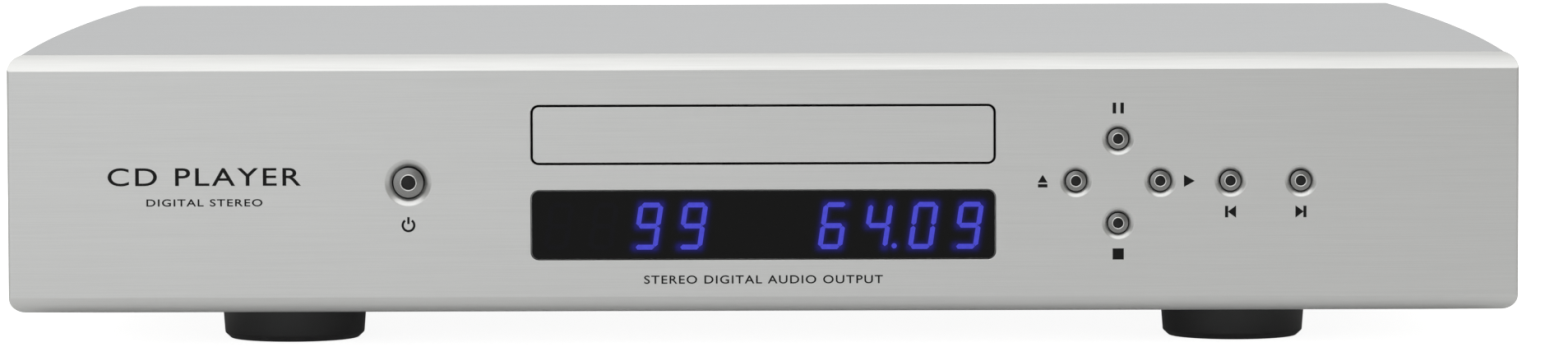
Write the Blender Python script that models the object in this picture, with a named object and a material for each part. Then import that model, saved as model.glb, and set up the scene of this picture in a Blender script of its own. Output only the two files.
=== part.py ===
"""A full-width CD player: aluminium case, disc drawer, clamping drive, electronics and rear sockets.

The frame has its origin on the floor under the middle of the player, +Z up, the front facing -Y
and +X to the right. Sizes and places are in millimetres until node() turns them into metres.
"""

from math import acos, atan2, cos, floor, pi, radians, sin, tan

import bmesh
import bpy
from mathutils import Matrix, Vector

MM = 0.001  # metres in a millimetre
GAP = 0.3  # clearance between pieces that meet
ROUND = 20  # sides of a round piece
SMALL_ROUND = 12  # sides of a small round piece

# Case
WIDTH = 430.0
HEIGHT = 84.8
FOOT_HEIGHT = 11.3
FRONT = -187.5
PANEL_DEPTH = 10.0
PANEL_BACK = FRONT + PANEL_DEPTH
PANEL_CORNER = 4.5
PANEL_CHAMFER = 4.5
CASE_REAR = 177.5
SOCKET_END = 187.5
PLATE = 2.0
COVER = 2.5
CHEEK = 4.0
BOW_FRONT = 211.7  # half widths of the bowed sides at their front and rear ends
BOW_REAR = 208.5
BOW_RISE = 3.7
BOW_STEPS = 12
COVER_BOTTOM = HEIGHT - COVER
BASE_BOTTOM = FOOT_HEIGHT
BASE_TOP = BASE_BOTTOM + PLATE

# Feet
FOOT_TOP_RADIUS = 21.0
FOOT_EDGE_RADIUS = 20.3
FOOT_FLAT_RADIUS = 18.6
FOOT_CHAMFER = 1.6
FOOT_X = 137.0
FOOT_FROM_END = 55.0

# Drawer front and display in the panel
DRAWER_Z = 61.9
DRAWER_OPENING = (132.3, 17.1)
DRAWER_DOOR = (131.1, 15.9)
DOOR_DEPTH = 4.0
WINDOW_Z = 36.2
WINDOW_OPENING = (132.3, 19.9)
WINDOW_LEDGE = (128.0, 16.0)
WINDOW_DEPTH = 3.0
OPENING_CORNER = 2.3

# Buttons: name, x, z; the power button is larger than the others
BUTTON_ROW_Z = 48.4
POWER_BUTTON = ("button_power", -101.0, BUTTON_ROW_Z)
CROSS_X = 101.0
CROSS_STEP = 12.0
SMALL_BUTTONS = (
    ("button_eject", CROSS_X - CROSS_STEP, BUTTON_ROW_Z),
    ("button_play", CROSS_X + CROSS_STEP, BUTTON_ROW_Z),
    ("button_pause", CROSS_X, BUTTON_ROW_Z + CROSS_STEP),
    ("button_stop", CROSS_X, BUTTON_ROW_Z - CROSS_STEP),
    ("button_previous", 133.0, BUTTON_ROW_Z),
    ("button_next", 153.0, BUTTON_ROW_Z),
)
BUTTON_TRAVEL = 1.0
POWER_RADII = {"cap": 4.25, "hole": 4.8, "dish": 6.6, "eye": 2.0, "flange": 6.4}
SMALL_RADII = {"cap": 2.85, "hole": 3.3, "dish": 4.5, "eye": 1.5, "flange": 4.6}
DISH_DEPTH = 0.9
CAP_SET_BACK = 0.15  # of a cap's highest ring behind the panel's face
FLANGE = 1.2
STEM_RADIUS = 1.5
STEM = 3.0

# Boards behind the panel
BOARD = 1.6
BUTTON_BOARD = ((82.0, 162.0), (28.0, 68.0))  # X and Z from, to
POWER_BOARD = ((-113.0, -89.0), (38.0, 59.0))
SWITCH_HEIGHT = 3.9  # of a push switch, its plunger included
SWITCH_HALF = 3.0
SPACER_RADIUS = 2.0
SPACER_INSET = 3.0
DISPLAY_HALF = (62.0, 7.6)
DISPLAY_BOARD_HALF = (74.0, 12.0)
DISPLAY_BOARD_GAP = 1.5

# Disc drive
DISC_X = 0.0
DISC_Y = -119.5
DISC_RECESS = 60.4
INNER_RECESS = 41.0
TRAY_HALF = 64.1
TRAY_BOTTOM = 56.0
TRAY_TOP = 63.5
TRAY_REAR = -18.2
TRAY_SLOT_HALF = 19.0
DISC_LEDGE = 3.2  # depth of the step that carries the disc
INNER_LEDGE = 4.4
LOADER_FRONT = -172.0
LOADER_REAR = -2.0
LOADER_FLOOR = (30.0, 32.5)
LOADER_WALL = (64.5, 68.0)
LOADER_WALL_TOP = 66.0
WELL_HALF = 38.5
WELL = (-170.0, -24.0)

# Clamp
BRIDGE_Z = (70.8, 73.8)
BRIDGE_REACH = 15.5
BRIDGE_HOLE = 12.0
PUCK_BOTTOM = 66.4
PUCK_TOP = 76.0
PUCK_RADIUS = 14.5
PUCK_NECK = 10.0
PUCK_CAP = 15.0

# Gears
PRESSURE = radians(20.0)
MODULE = 1.0
BACKLASH = 0.2  # taken off each flank
ADDENDUM = 0.8
DEDENDUM = 1.25
DRIVE_TEETH = 20
PULLEY_TEETH = 12
SLED_TEETH = 12
DRIVE_PITCH = DRIVE_TEETH * MODULE / 2
PULLEY_PITCH = PULLEY_TEETH * MODULE / 2
SLED_PITCH = SLED_TEETH * MODULE / 2
TRAIN_X = -48.3
DRIVE_Y = -158.0
PULLEY_Y = DRIVE_Y + DRIVE_PITCH + PULLEY_PITCH
MOTOR_Y = PULLEY_Y + 38.0
BELT_WHEEL = 8.0
MOTOR_WHEEL = 3.2
WHEEL_Z = (33.0, 36.6)
WHEEL_LIP = 0.9
GROOVE_SIDE = 0.8
BELT_Z = (34.1, 35.5)
BELT_THICKNESS = 1.1
GEAR_BOTTOM = 44.0
HUB_TOP = 45.0
DRIVE_TOP = 55.4
PULLEY_TOP = 48.0
DRIVE_HUB = 4.0
PULLEY_HUB = 3.4
POST_RADIUS = 1.8
POST_BORE = 2.2
MOTOR_RADIUS = 10.0
MOTOR_BOTTOM = 17.0

# Lift frame and traverse
PIVOT = (0.0, -35.0, 40.0)
FRAME_Z = (38.0, 42.0)
FRAME_FRONT = -158.0
FRAME_HALF = 36.5
FRAME_WINDOW = 29.0
PIN_END = 44.0  # of the pivot pins, each side
PIN_RADIUS = 1.9
FOLLOWER_RADIUS = 1.5
FOLLOWER_END = -169.0
GROMMET = (3.4, 2.6)  # radius at its ends and at its waist
GROMMET_X = 32.5
CAM_TRAVEL = 14.0
CAM_X = (-22.0, 10.0)
CAM_Y = (-169.7, -166.7)
CAM_Z = (21.5, 50.0)
CAM_SLOT = 2.4
LIFT_ANGLE = radians(6.0)
PLATE_Z = (46.3, 48.3)
ROD_X = 17.0
ROD_Z = 51.8
ROD_RADIUS = 1.5
LENS_Y = DISC_Y + 24.0
SLED_Y = -78.0
SLED_GEAR_Z = (50.0, 53.4)
SLED_MOTOR = 6.0
PICKUP_Z = (49.0, 54.8)
LENS_BARREL = (6.0, 58.6)  # radius and top
LENS_RADIUS = 2.6
LENS_Z = (58.9, 60.3)
SPINDLE_MOTOR = (12.0, 37.5)  # radius and bottom
SPINDLE = 1.5
TABLE_RADIUS = 15.0
TABLE_Z = (58.0, 60.0, 62.3)  # under its middle, under its edge, top
HUB = ((7.4, 62.3), (7.0, 64.4), (4.5, 65.6))

# Transformer and boards on the base
TRANSFORMER = (-128.0, 92.0)
TRANSFORMER_RADII = (31.0, 19.0)  # of its ring and of the winding's section
BOARD_Z = 20.0
BOARD_POST = 3.0
POST_INSET = 5.0
SUPPLY_BOARD = ((-196.0, -110.0), (-84.0, 20.0))
AUDIO_BOARD = ((84.0, -110.0), (196.0, 150.0))

# Rear fittings
INLET = {"x": -165.0, "z": 44.0, "body": (28.0, 21.0), "flange": (50.0, 24.0)}
INLET_CAVITY = (24.0, 15.0, 16.0)  # width, depth and height
ROCKER = {"x": -112.0, "z": 44.0, "body": (19.0, 13.0), "flange": (21.0, 15.0)}
ROCKER_SIZE = (14.4, 9.0)
FITTING_FLANGE = 2.5
SOCKETS = (
    ("analog_socket_right", 96.0, 36.0),
    ("analog_socket_left", 96.0, 58.0),
    ("digital_socket", 150.0, 47.0),
)
SOCKET_RADIUS = 4.15
SOCKET_BORE = 1.7
SOCKET_NUT = (6.0, 2.3)  # radius and height over the rear plate


def finish(name, colour, roughness, metallic=0.0):
    """A plain surface finish."""
    look = bpy.data.materials.new(name)
    look.use_nodes = True
    shader = look.node_tree.nodes["Principled BSDF"]
    shader.inputs["Base Color"].default_value = (*colour, 1.0)
    shader.inputs["Roughness"].default_value = roughness
    shader.inputs["Metallic"].default_value = metallic
    return look


def place_of(thing):
    """World place of an object whose parents are moved but never turned."""
    place = thing.location.copy()
    while thing.parent:
        thing = thing.parent
        place += thing.location
    return place


def pivot(name, place, parent=None):
    """An empty on a joint's axis, which carries the pieces that move."""
    empty = bpy.data.objects.new(name, None)
    empty.parent = parent
    empty.location = Vector(place) * MM
    if parent:
        empty.location -= place_of(parent)
    bpy.context.collection.objects.link(empty)
    return empty


def node(name, bm, look, origin=(0.0, 0.0, 0.0), parent=None):
    """Turns a bmesh drawn in millimetres into an object with its own origin at origin."""
    bmesh.ops.translate(bm, vec=-Vector(origin), verts=bm.verts)
    bmesh.ops.scale(bm, vec=(MM, MM, MM), verts=bm.verts)
    bmesh.ops.recalc_face_normals(bm, faces=bm.faces)
    mesh = bpy.data.meshes.new(name)
    bm.to_mesh(mesh)
    bm.free()
    mesh.shade_smooth()
    mesh.set_sharp_from_angle(angle=radians(30.0))
    if look:
        mesh.materials.append(look)
    piece = bpy.data.objects.new(name, mesh)
    piece.parent = parent
    piece.location = Vector(origin) * MM
    if parent:
        piece.location -= place_of(parent)
    bpy.context.collection.objects.link(piece)
    return piece


def combine(piece, operation, bm, tag):
    """Adds (UNION) or removes (DIFFERENCE) the shapes in bm, which may overlap each other."""
    place = place_of(piece) / MM
    helper = node(f"{piece.name}_{tag}", bm, None, place)
    helper.parent = piece
    helper.location = (0.0, 0.0, 0.0)
    helper.hide_render = True
    helper.display_type = "WIRE"
    step = piece.modifiers.new(tag, "BOOLEAN")
    step.operation = operation
    step.solver = "EXACT"
    step.use_self = True
    step.object = helper


def turn_to(axis):
    """The rotation that lays the Z axis of a drawn shape along axis."""
    if axis == "X":
        return Matrix.Rotation(pi / 2, 4, "Y")
    if axis == "Y":
        return Matrix.Rotation(-pi / 2, 4, "X")
    return Matrix.Identity(4)


def add_box(bm, low, high):
    """A block between two opposite corners."""
    low = Vector(low)
    high = Vector(high)
    size = high - low
    matrix = Matrix.Translation((low + high) / 2) @ Matrix.Diagonal((*size, 1.0))
    bmesh.ops.create_cube(bm, size=1.0, matrix=matrix)


def add_turned(bm, profile, centre=(0.0, 0.0, 0.0), axis="Z", sides=ROUND):
    """A turned shape: profile is (radius, height) points, closed on the axis or on itself."""
    for vert in bm.verts:
        vert.tag = True
    on_axis = profile[0][0] == 0.0 and profile[-1][0] == 0.0
    verts = [bm.verts.new((radius, 0.0, height)) for radius, height in profile]
    ends = verts if on_axis else [*verts, verts[0]]
    edges = [bm.edges.new(pair) for pair in zip(ends, ends[1:])]
    bmesh.ops.spin(
        bm,
        geom=[*verts, *edges],
        cent=(0.0, 0.0, 0.0),
        axis=(0.0, 0.0, 1.0),
        angle=2 * pi,
        steps=sides,
        use_merge=True,
    )
    made = [vert for vert in bm.verts if not vert.tag]
    bmesh.ops.remove_doubles(bm, verts=made, dist=1e-4)
    made = [vert for vert in bm.verts if not vert.tag]
    bmesh.ops.transform(bm, matrix=Matrix.Translation(centre) @ turn_to(axis), verts=made)


def add_rod(bm, centre, radius, low, high, axis="Z", sides=SMALL_ROUND):
    """A solid round bar along axis, from low to high of that coordinate."""
    profile = ((0.0, low), (radius, low), (radius, high), (0.0, high))
    along = "XYZ".index(axis)
    start = [0.0 if i == along else centre[i] for i in range(3)]
    add_turned(bm, profile, start, axis, sides)


def add_outline(bm, points, low, high, axis="Z"):
    """A closed outline extruded along axis; points are (x, y), (x, z) or (y, z)."""

    def at(point, level):
        along = "XYZ".index(axis)
        place = list(point)
        place.insert(along, level)
        return place

    verts = [bm.verts.new(at(point, low)) for point in points]
    face = bm.faces.new(verts)
    grown = bmesh.ops.extrude_face_region(bm, geom=[face])
    moved = [item for item in grown["geom"] if isinstance(item, bmesh.types.BMVert)]
    bmesh.ops.translate(bm, vec=at((0.0, 0.0), high - low), verts=moved)


def rounded_rectangle(size, radius, centre=(0.0, 0.0), steps=4):
    """Corner-rounded rectangle, anticlockwise."""
    points = []
    for quarter, (across, up) in enumerate(((1, 1), (-1, 1), (-1, -1), (1, -1))):
        middle_x = centre[0] + across * (size[0] / 2 - radius)
        middle_y = centre[1] + up * (size[1] / 2 - radius)
        for step in range(steps + 1):
            angle = (quarter + step / steps) * pi / 2
            points.append((middle_x + radius * cos(angle), middle_y + radius * sin(angle)))
    return points


def involute(angle):
    """Polar angle gained by an involute at this pressure angle."""
    return tan(angle) - angle


def gear_outline(teeth, centre, turn=0.0):
    """Involute spur gear with a tooth centred on the turn angle."""
    pitch = teeth * MODULE / 2
    base = pitch * cos(PRESSURE)
    radii = (pitch - DEDENDUM * MODULE, base, pitch, pitch + ADDENDUM * MODULE)
    half_tooth = pi / (2 * teeth) - BACKLASH / pitch
    flank = [
        (radius, half_tooth + involute(PRESSURE) - involute(acos(min(1.0, base / radius))))
        for radius in sorted(radii)
    ]
    points = []
    for tooth in range(teeth):
        middle = turn + 2 * pi * tooth / teeth
        rising = [(radius, middle - offset) for radius, offset in flank]
        falling = [(radius, middle + offset) for radius, offset in reversed(flank)]
        for radius, angle in rising + falling:
            points.append((centre[0] + radius * cos(angle), centre[1] + radius * sin(angle)))
    return points


def rack_outline(back, pitch_line, gap_at, low, high):
    """Straight rack along Y with its teeth towards +X and a tooth gap centred on gap_at."""
    spacing = pi * MODULE
    slope = tan(PRESSURE)
    tip = ADDENDUM * MODULE
    root = DEDENDUM * MODULE
    half_tooth = spacing / 4 - BACKLASH
    points = [(back, low), (pitch_line - root, low)]
    first = floor((low - gap_at) / spacing) + 1
    middle = gap_at + (first + 0.5) * spacing
    while middle + spacing / 2 < high:
        points.append((pitch_line - root, middle - half_tooth - root * slope))
        points.append((pitch_line + tip, middle - half_tooth + tip * slope))
        points.append((pitch_line + tip, middle + half_tooth - tip * slope))
        points.append((pitch_line - root, middle + half_tooth + root * slope))
        middle += spacing
    return [*points, (pitch_line - root, high), (back, high)]


def bow(y):
    """Half width of the bowed case at this depth."""
    along = (y - PANEL_BACK) / (CASE_REAR - PANEL_BACK)
    return BOW_FRONT + (BOW_REAR - BOW_FRONT) * along + 4 * BOW_RISE * along * (1 - along)


def bowed_edge(low, high, inset, side=1):
    """Points along one bowed side, front to rear."""
    ys = [low + (high - low) * step / BOW_STEPS for step in range(BOW_STEPS + 1)]
    return [(side * (bow(y) - inset), y) for y in ys]


def bowed_plate(name, look, low_y, high_y, inset, low_z, high_z):
    """A flat plate whose two long sides follow the bow."""
    bm = bmesh.new()
    right = bowed_edge(low_y, high_y, inset)
    left = bowed_edge(low_y, high_y, inset, -1)
    add_outline(bm, [*right, *reversed(left)], low_z, high_z)
    return node(name, bm, look)


def chamfer(bm, edge_y, edge_z, direction_z):
    """Cuts a 45 degree flat off the front edge at edge_y and edge_z."""
    normal = Vector((0.0, -1.0, direction_z)).normalized()
    point = (0.0, edge_y, edge_z - direction_z * PANEL_CHAMFER)
    cut = bmesh.ops.bisect_plane(
        bm,
        geom=[*bm.verts, *bm.edges, *bm.faces],
        plane_co=point,
        plane_no=normal,
        clear_outer=True,
        dist=1e-4,
    )
    rim = [item for item in cut["geom_cut"] if isinstance(item, bmesh.types.BMEdge)]
    bmesh.ops.edgeloop_fill(bm, edges=rim)


def button_rows():
    """Every button with its radii."""
    yield (*POWER_BUTTON, POWER_RADII)
    for name, x, z in SMALL_BUTTONS:
        yield name, x, z, SMALL_RADII


def front_panel(look):
    """Thick brushed slab with the drawer slot, the display pocket and seven dished button holes."""
    bm = bmesh.new()
    size = (WIDTH, HEIGHT - BASE_BOTTOM)
    middle_z = (HEIGHT + BASE_BOTTOM) / 2
    outline = rounded_rectangle(size, PANEL_CORNER, (0.0, middle_z))
    add_outline(bm, outline, FRONT, PANEL_BACK, "Y")
    chamfer(bm, FRONT, HEIGHT, 1)
    chamfer(bm, FRONT, BASE_BOTTOM, -1)
    panel = node("front_panel", bm, look)

    past = 2.0
    slots = bmesh.new()
    drawer = rounded_rectangle(DRAWER_OPENING, OPENING_CORNER, (0.0, DRAWER_Z))
    add_outline(slots, drawer, FRONT - past, PANEL_BACK + past, "Y")
    pocket = rounded_rectangle(WINDOW_OPENING, OPENING_CORNER, (0.0, WINDOW_Z))
    add_outline(slots, pocket, FRONT - past, FRONT + WINDOW_DEPTH + GAP, "Y")
    combine(panel, "DIFFERENCE", slots, "slots")
    ledge = bmesh.new()
    inner = rounded_rectangle(WINDOW_LEDGE, OPENING_CORNER / 2, (0.0, WINDOW_Z))
    add_outline(ledge, inner, FRONT + 1.0, PANEL_BACK + past, "Y")
    combine(panel, "DIFFERENCE", ledge, "ledge")

    holes = bmesh.new()
    for _, x, z, radii in button_rows():
        mouth = radii["dish"] + 0.9
        profile = (
            (0.0, FRONT - past),
            (mouth, FRONT - past),
            (mouth, FRONT - 0.1),
            (radii["dish"], FRONT),
            ((radii["dish"] + radii["hole"]) / 2, FRONT + 0.75 * DISH_DEPTH),
            (radii["hole"], FRONT + DISH_DEPTH),
            (radii["hole"], PANEL_BACK + past),
            (0.0, PANEL_BACK + past),
        )
        add_turned(holes, profile, (x, 0.0, z), "Y")
    combine(panel, "DIFFERENCE", holes, "holes")


def case(silver, plated):
    """Top cover, bowed side cheeks, base and rear panel."""
    start = PANEL_BACK + GAP
    bowed_plate("top_cover", silver, start, CASE_REAR, 0.0, COVER_BOTTOM, HEIGHT)
    for name, side in (("side_left", -1), ("side_right", 1)):
        bm = bmesh.new()
        outer = bowed_edge(start, CASE_REAR, 0.0, side)
        inner = bowed_edge(start, CASE_REAR, CHEEK, side)
        add_outline(bm, [*outer, *reversed(inner)], BASE_BOTTOM, COVER_BOTTOM - GAP)
        node(name, bm, silver)
    base_rear = CASE_REAR - PLATE - GAP
    bowed_plate("base_plate", plated, start, base_rear, CHEEK + GAP, BASE_BOTTOM, BASE_TOP)


def feet(look):
    """Four round feet with a chamfered foot edge."""
    places = (
        ("foot_front_left", -FOOT_X, FRONT + FOOT_FROM_END),
        ("foot_front_right", FOOT_X, FRONT + FOOT_FROM_END),
        ("foot_rear_left", -FOOT_X, CASE_REAR - FOOT_FROM_END),
        ("foot_rear_right", FOOT_X, CASE_REAR - FOOT_FROM_END),
    )
    profile = (
        (0.0, 0.0),
        (FOOT_FLAT_RADIUS, 0.0),
        (FOOT_EDGE_RADIUS, FOOT_CHAMFER),
        (FOOT_TOP_RADIUS, FOOT_HEIGHT - GAP),
        (0.0, FOOT_HEIGHT - GAP),
    )
    for name, x, y in places:
        bm = bmesh.new()
        add_turned(bm, profile, (x, y, 0.0), sides=32)
        node(name, bm, look, (x, y, 0.0))


def buttons(look):
    """Turned caps with a dimpled eye, each sliding into the panel against its switch."""
    for name, x, z, radii in button_rows():
        cap = radii["cap"]
        eye = radii["eye"]
        face = FRONT + CAP_SET_BACK
        back = PANEL_BACK + GAP
        profile = (
            (0.0, face + 0.6),
            (eye * 0.8, face + 0.6),
            (eye, face),
            (cap * 0.92, face + 0.15),
            (cap, face + 0.5),
            (cap, back),
            (radii["flange"], back),
            (radii["flange"], back + FLANGE),
            (STEM_RADIUS, back + FLANGE),
            (STEM_RADIUS, back + STEM),
            (0.0, back + STEM),
        )
        bm = bmesh.new()
        add_turned(bm, profile, (x, 0.0, z), "Y")
        node(name, bm, look, (x, FRONT, z))


def switch_board(name, look, extent, places):
    """A printed board behind the panel with one push switch per button and two spacer posts."""
    (low_x, high_x), (low_z, high_z) = extent
    plunger = PANEL_BACK + GAP + STEM + BUTTON_TRAVEL + 0.4
    front = plunger + SWITCH_HEIGHT
    bm = bmesh.new()
    add_box(bm, (low_x, front, low_z), (high_x, front + BOARD, high_z))
    board = node(name, bm, look)
    parts = bmesh.new()
    for x, z in places:
        low = (x - SWITCH_HALF, front - 2.4, z - SWITCH_HALF)
        add_box(parts, low, (x + SWITCH_HALF, front + BOARD / 2, z + SWITCH_HALF))
        add_rod(parts, (x, 0.0, z), 1.6, plunger, front - 1.0, "Y")
    for x in (low_x + SPACER_INSET, high_x - SPACER_INSET):
        spot = (x, 0.0, low_z + SPACER_INSET)
        add_rod(parts, spot, SPACER_RADIUS, PANEL_BACK + GAP, front + BOARD / 2, "Y")
    combine(board, "UNION", parts, "parts")


def display(black, green, lamp):
    """Flush window, seven-segment module and its board."""
    bm = bmesh.new()
    size = (WINDOW_OPENING[0] - 2 * GAP, WINDOW_OPENING[1] - 2 * GAP)
    outline = rounded_rectangle(size, OPENING_CORNER - GAP, (0.0, WINDOW_Z))
    add_outline(bm, outline, FRONT, FRONT + WINDOW_DEPTH, "Y")
    node("display_window", bm, black)
    half_width, half_height = DISPLAY_HALF
    module_front = FRONT + WINDOW_DEPTH + 2 * GAP
    module_back = PANEL_BACK + DISPLAY_BOARD_GAP
    bm = bmesh.new()
    low = (-half_width, module_front, WINDOW_Z - half_height)
    add_box(bm, low, (half_width, module_back, WINDOW_Z + half_height))
    node("display_module", bm, lamp)
    bm = bmesh.new()
    board_front = module_back + GAP
    half_width, half_height = DISPLAY_BOARD_HALF
    low = (-half_width, board_front, WINDOW_Z - half_height)
    add_box(bm, low, (half_width, board_front + BOARD, WINDOW_Z + half_height))
    board = node("display_board", bm, green)
    posts = bmesh.new()
    reach = half_width - 4.0
    rise = half_height - 4.0
    for x in (-reach, reach):
        for z in (WINDOW_Z - rise, WINDOW_Z + rise):
            end = board_front + BOARD / 2
            add_rod(posts, (x, 0.0, z), SPACER_RADIUS, PANEL_BACK + GAP, end, "Y")
    combine(board, "UNION", posts, "posts")


def drawer(body, silver, plastic):
    """Tray with its disc recesses and rear slot, the door on its front and the rack below."""
    front = FRONT + DOOR_DEPTH + GAP
    bm = bmesh.new()
    add_box(bm, (-TRAY_HALF, front, TRAY_BOTTOM), (TRAY_HALF, TRAY_REAR, TRAY_TOP))
    tray = node("tray", bm, plastic, (DISC_X, DISC_Y, TRAY_BOTTOM), body)
    cuts = bmesh.new()
    over = TRAY_TOP + 2.0
    floor_z = TRAY_TOP - INNER_LEDGE
    ledge_z = TRAY_TOP - DISC_LEDGE
    profile = (
        (0.0, floor_z),
        (INNER_RECESS - 0.6, floor_z),
        (INNER_RECESS, ledge_z),
        (DISC_RECESS - 0.6, ledge_z),
        (DISC_RECESS, TRAY_TOP - 0.4),
        (DISC_RECESS + 0.8, TRAY_TOP + 0.4),
        (DISC_RECESS + 0.8, over),
        (0.0, over),
    )
    add_turned(cuts, profile, (DISC_X, DISC_Y, 0.0), sides=48)
    combine(tray, "DIFFERENCE", cuts, "recess")
    slot = bmesh.new()
    arc = [pi + step * pi / 12 for step in range(13)]
    nose = [(TRAY_SLOT_HALF * cos(a), DISC_Y + TRAY_SLOT_HALF * sin(a)) for a in arc]
    ends = [(TRAY_SLOT_HALF, TRAY_REAR + 2.0), (-TRAY_SLOT_HALF, TRAY_REAR + 2.0)]
    add_outline(slot, [*nose, *ends], TRAY_BOTTOM - 2.0, over)
    combine(tray, "DIFFERENCE", slot, "slot")

    bm = bmesh.new()
    outline = rounded_rectangle(DRAWER_DOOR, OPENING_CORNER - 2 * GAP, (0.0, DRAWER_Z))
    add_outline(bm, outline, FRONT, FRONT + DOOR_DEPTH, "Y")
    node("tray_door", bm, silver, (0.0, FRONT, DRAWER_Z), body)

    bm = bmesh.new()
    pitch_line = TRAIN_X - DRIVE_PITCH
    points = rack_outline(pitch_line - 3.0, pitch_line, DRIVE_Y, DRIVE_Y - 5.0, TRAY_REAR)
    slot_floor = DRAWER_Z - DRAWER_OPENING[1] / 2
    add_outline(bm, points, slot_floor + GAP, TRAY_BOTTOM - GAP)
    node("tray_rack", bm, plastic, (pitch_line, DRIVE_Y, TRAY_BOTTOM), body)


def loader_base(look):
    """Moulded base with tray channels, a well for the traverse, gear posts and pivot bosses."""
    low, high = LOADER_FLOOR
    inner, outer = LOADER_WALL
    bm = bmesh.new()
    add_box(bm, (-outer, LOADER_FRONT, low), (outer, LOADER_REAR, high))
    base = node("loader_base", bm, look)

    well = bmesh.new()
    add_box(well, (-WELL_HALF, WELL[0], low - 2.0), (WELL_HALF, WELL[1], high + 2.0))
    add_rod(well, (TRAIN_X, MOTOR_Y, 0.0), 2.5, low - 2.0, high + 2.0)
    combine(base, "DIFFERENCE", well, "well")

    parts = bmesh.new()
    middle = (low + high) / 2
    for side in (-1, 1):
        for x0, x1, z0, z1 in (
            (inner, outer, middle, LOADER_WALL_TOP),
            (inner - 2.7, inner + 1.0, TRAY_BOTTOM - 2.6, TRAY_BOTTOM - 0.4),
            (inner - 2.7, inner + 1.0, TRAY_TOP + 0.4, LOADER_WALL_TOP - 0.4),
        ):
            left, right = sorted((side * x0, side * x1))
            add_box(parts, (left, LOADER_FRONT, z0), (right, LOADER_REAR, z1))
        for y in (LOADER_FRONT + 6.0, LOADER_REAR - 6.0):
            x = side * (outer - 5.0)
            add_box(parts, (x - 4.0, y - 4.0, BASE_TOP + GAP), (x + 4.0, y + 4.0, middle))
        left, right = sorted((side * (WELL_HALF + 0.3), side * 45.0))
        add_box(parts, (left, PIVOT[1] - 5.0, middle), (right, PIVOT[1] + 5.0, PIVOT[2] + 4.5))
    add_box(parts, (-30.0, LOADER_FRONT, middle), (WELL_HALF, WELL[0], 48.0))
    add_rod(parts, (TRAIN_X, DRIVE_Y, 0.0), POST_RADIUS, middle, DRIVE_TOP - 0.4)
    add_rod(parts, (TRAIN_X, PULLEY_Y, 0.0), POST_RADIUS, middle, PULLEY_TOP)
    combine(base, "UNION", parts, "parts")
    bores = bmesh.new()
    add_rod(bores, PIVOT, 2.4, -46.0, 46.0, "X")
    combine(base, "DIFFERENCE", bores, "bores")


def wheel_rim(radius):
    """Rim of a grooved belt wheel, bottom to top."""
    low, high = WHEEL_Z
    return (
        (radius + WHEEL_LIP, low),
        (radius, low + GROOVE_SIDE),
        (radius, high - GROOVE_SIDE),
        (radius + WHEEL_LIP, high),
    )


def post_gear(name, look, teeth, y, top, hub, turn=0.0):
    """A gear joined to its hub, with a bore for its post on the base."""
    bm = bmesh.new()
    add_outline(bm, gear_outline(teeth, (TRAIN_X, y), turn), GEAR_BOTTOM, top)
    gear = node(name, bm, look, (TRAIN_X, y, WHEEL_Z[0]))
    combine(gear, "UNION", hub, "hub")
    bore = bmesh.new()
    add_rod(bore, (TRAIN_X, y, 0.0), POST_BORE, WHEEL_Z[0] - 3.0, top + 3.0)
    combine(gear, "DIFFERENCE", bore, "bore")


def gear_train(white, dark, steel):
    """Drive gear, belt wheel, belt and motor that move the drawer."""
    low, high = WHEEL_Z
    hub = bmesh.new()
    add_rod(hub, (TRAIN_X, DRIVE_Y, 0.0), DRIVE_HUB, low, HUB_TOP)
    post_gear("drive_gear", white, DRIVE_TEETH, DRIVE_Y, DRIVE_TOP, hub)

    neck = ((PULLEY_HUB, high), (PULLEY_HUB, HUB_TOP), (0.0, HUB_TOP))
    hub = bmesh.new()
    add_turned(hub, ((0.0, low), *wheel_rim(BELT_WHEEL), *neck), (TRAIN_X, PULLEY_Y, 0.0))
    turn = pi / PULLEY_TEETH
    post_gear("pulley_gear", white, PULLEY_TEETH, PULLEY_Y, PULLEY_TOP, hub, turn)

    shaft_end = LOADER_FLOOR[0] + 0.1
    shaft = ((0.0, shaft_end), (1.0, shaft_end), (1.0, low))
    bm = bmesh.new()
    profile = (*shaft, *wheel_rim(MOTOR_WHEEL), (0.0, high))
    add_turned(bm, profile, (TRAIN_X, MOTOR_Y, 0.0), sides=SMALL_ROUND)
    node("motor_pulley", bm, white, (TRAIN_X, MOTOR_Y, low))

    bm = bmesh.new()
    spot = (TRAIN_X, MOTOR_Y, 0.0)
    add_rod(bm, spot, MOTOR_RADIUS, MOTOR_BOTTOM, LOADER_FLOOR[0] - GAP, sides=ROUND)
    motor = node("loading_motor", bm, steel, (TRAIN_X, MOTOR_Y, MOTOR_BOTTOM))
    boss = bmesh.new()
    add_rod(boss, spot, 3.0, MOTOR_BOTTOM - 1.5, MOTOR_BOTTOM + 1.0)
    combine(motor, "UNION", boss, "boss")

    belt(dark)


def belt(look):
    """Flat drive belt: two arcs joined by the wheels' common tangents."""
    span = MOTOR_Y - PULLEY_Y

    def loop(extra):
        big = BELT_WHEEL + extra
        small = MOTOR_WHEEL + extra
        lean = acos((big - small) / span)
        steps = 10
        points = []
        for step in range(steps + 1):
            angle = pi / 2 + lean + (2 * pi - 2 * lean) * step / steps
            points.append((TRAIN_X + big * cos(angle), PULLEY_Y + big * sin(angle)))
        for step in range(steps + 1):
            angle = pi / 2 - lean + 2 * lean * step / steps
            points.append((TRAIN_X + small * cos(angle), MOTOR_Y + small * sin(angle)))
        return points

    bm = bmesh.new()
    add_outline(bm, loop(GAP + BELT_THICKNESS), *BELT_Z)
    piece = node("drive_belt", bm, look)
    hollow = bmesh.new()
    add_outline(hollow, loop(GAP), BELT_Z[0] - 2.0, BELT_Z[1] + 2.0)
    combine(piece, "DIFFERENCE", hollow, "inside")


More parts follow.
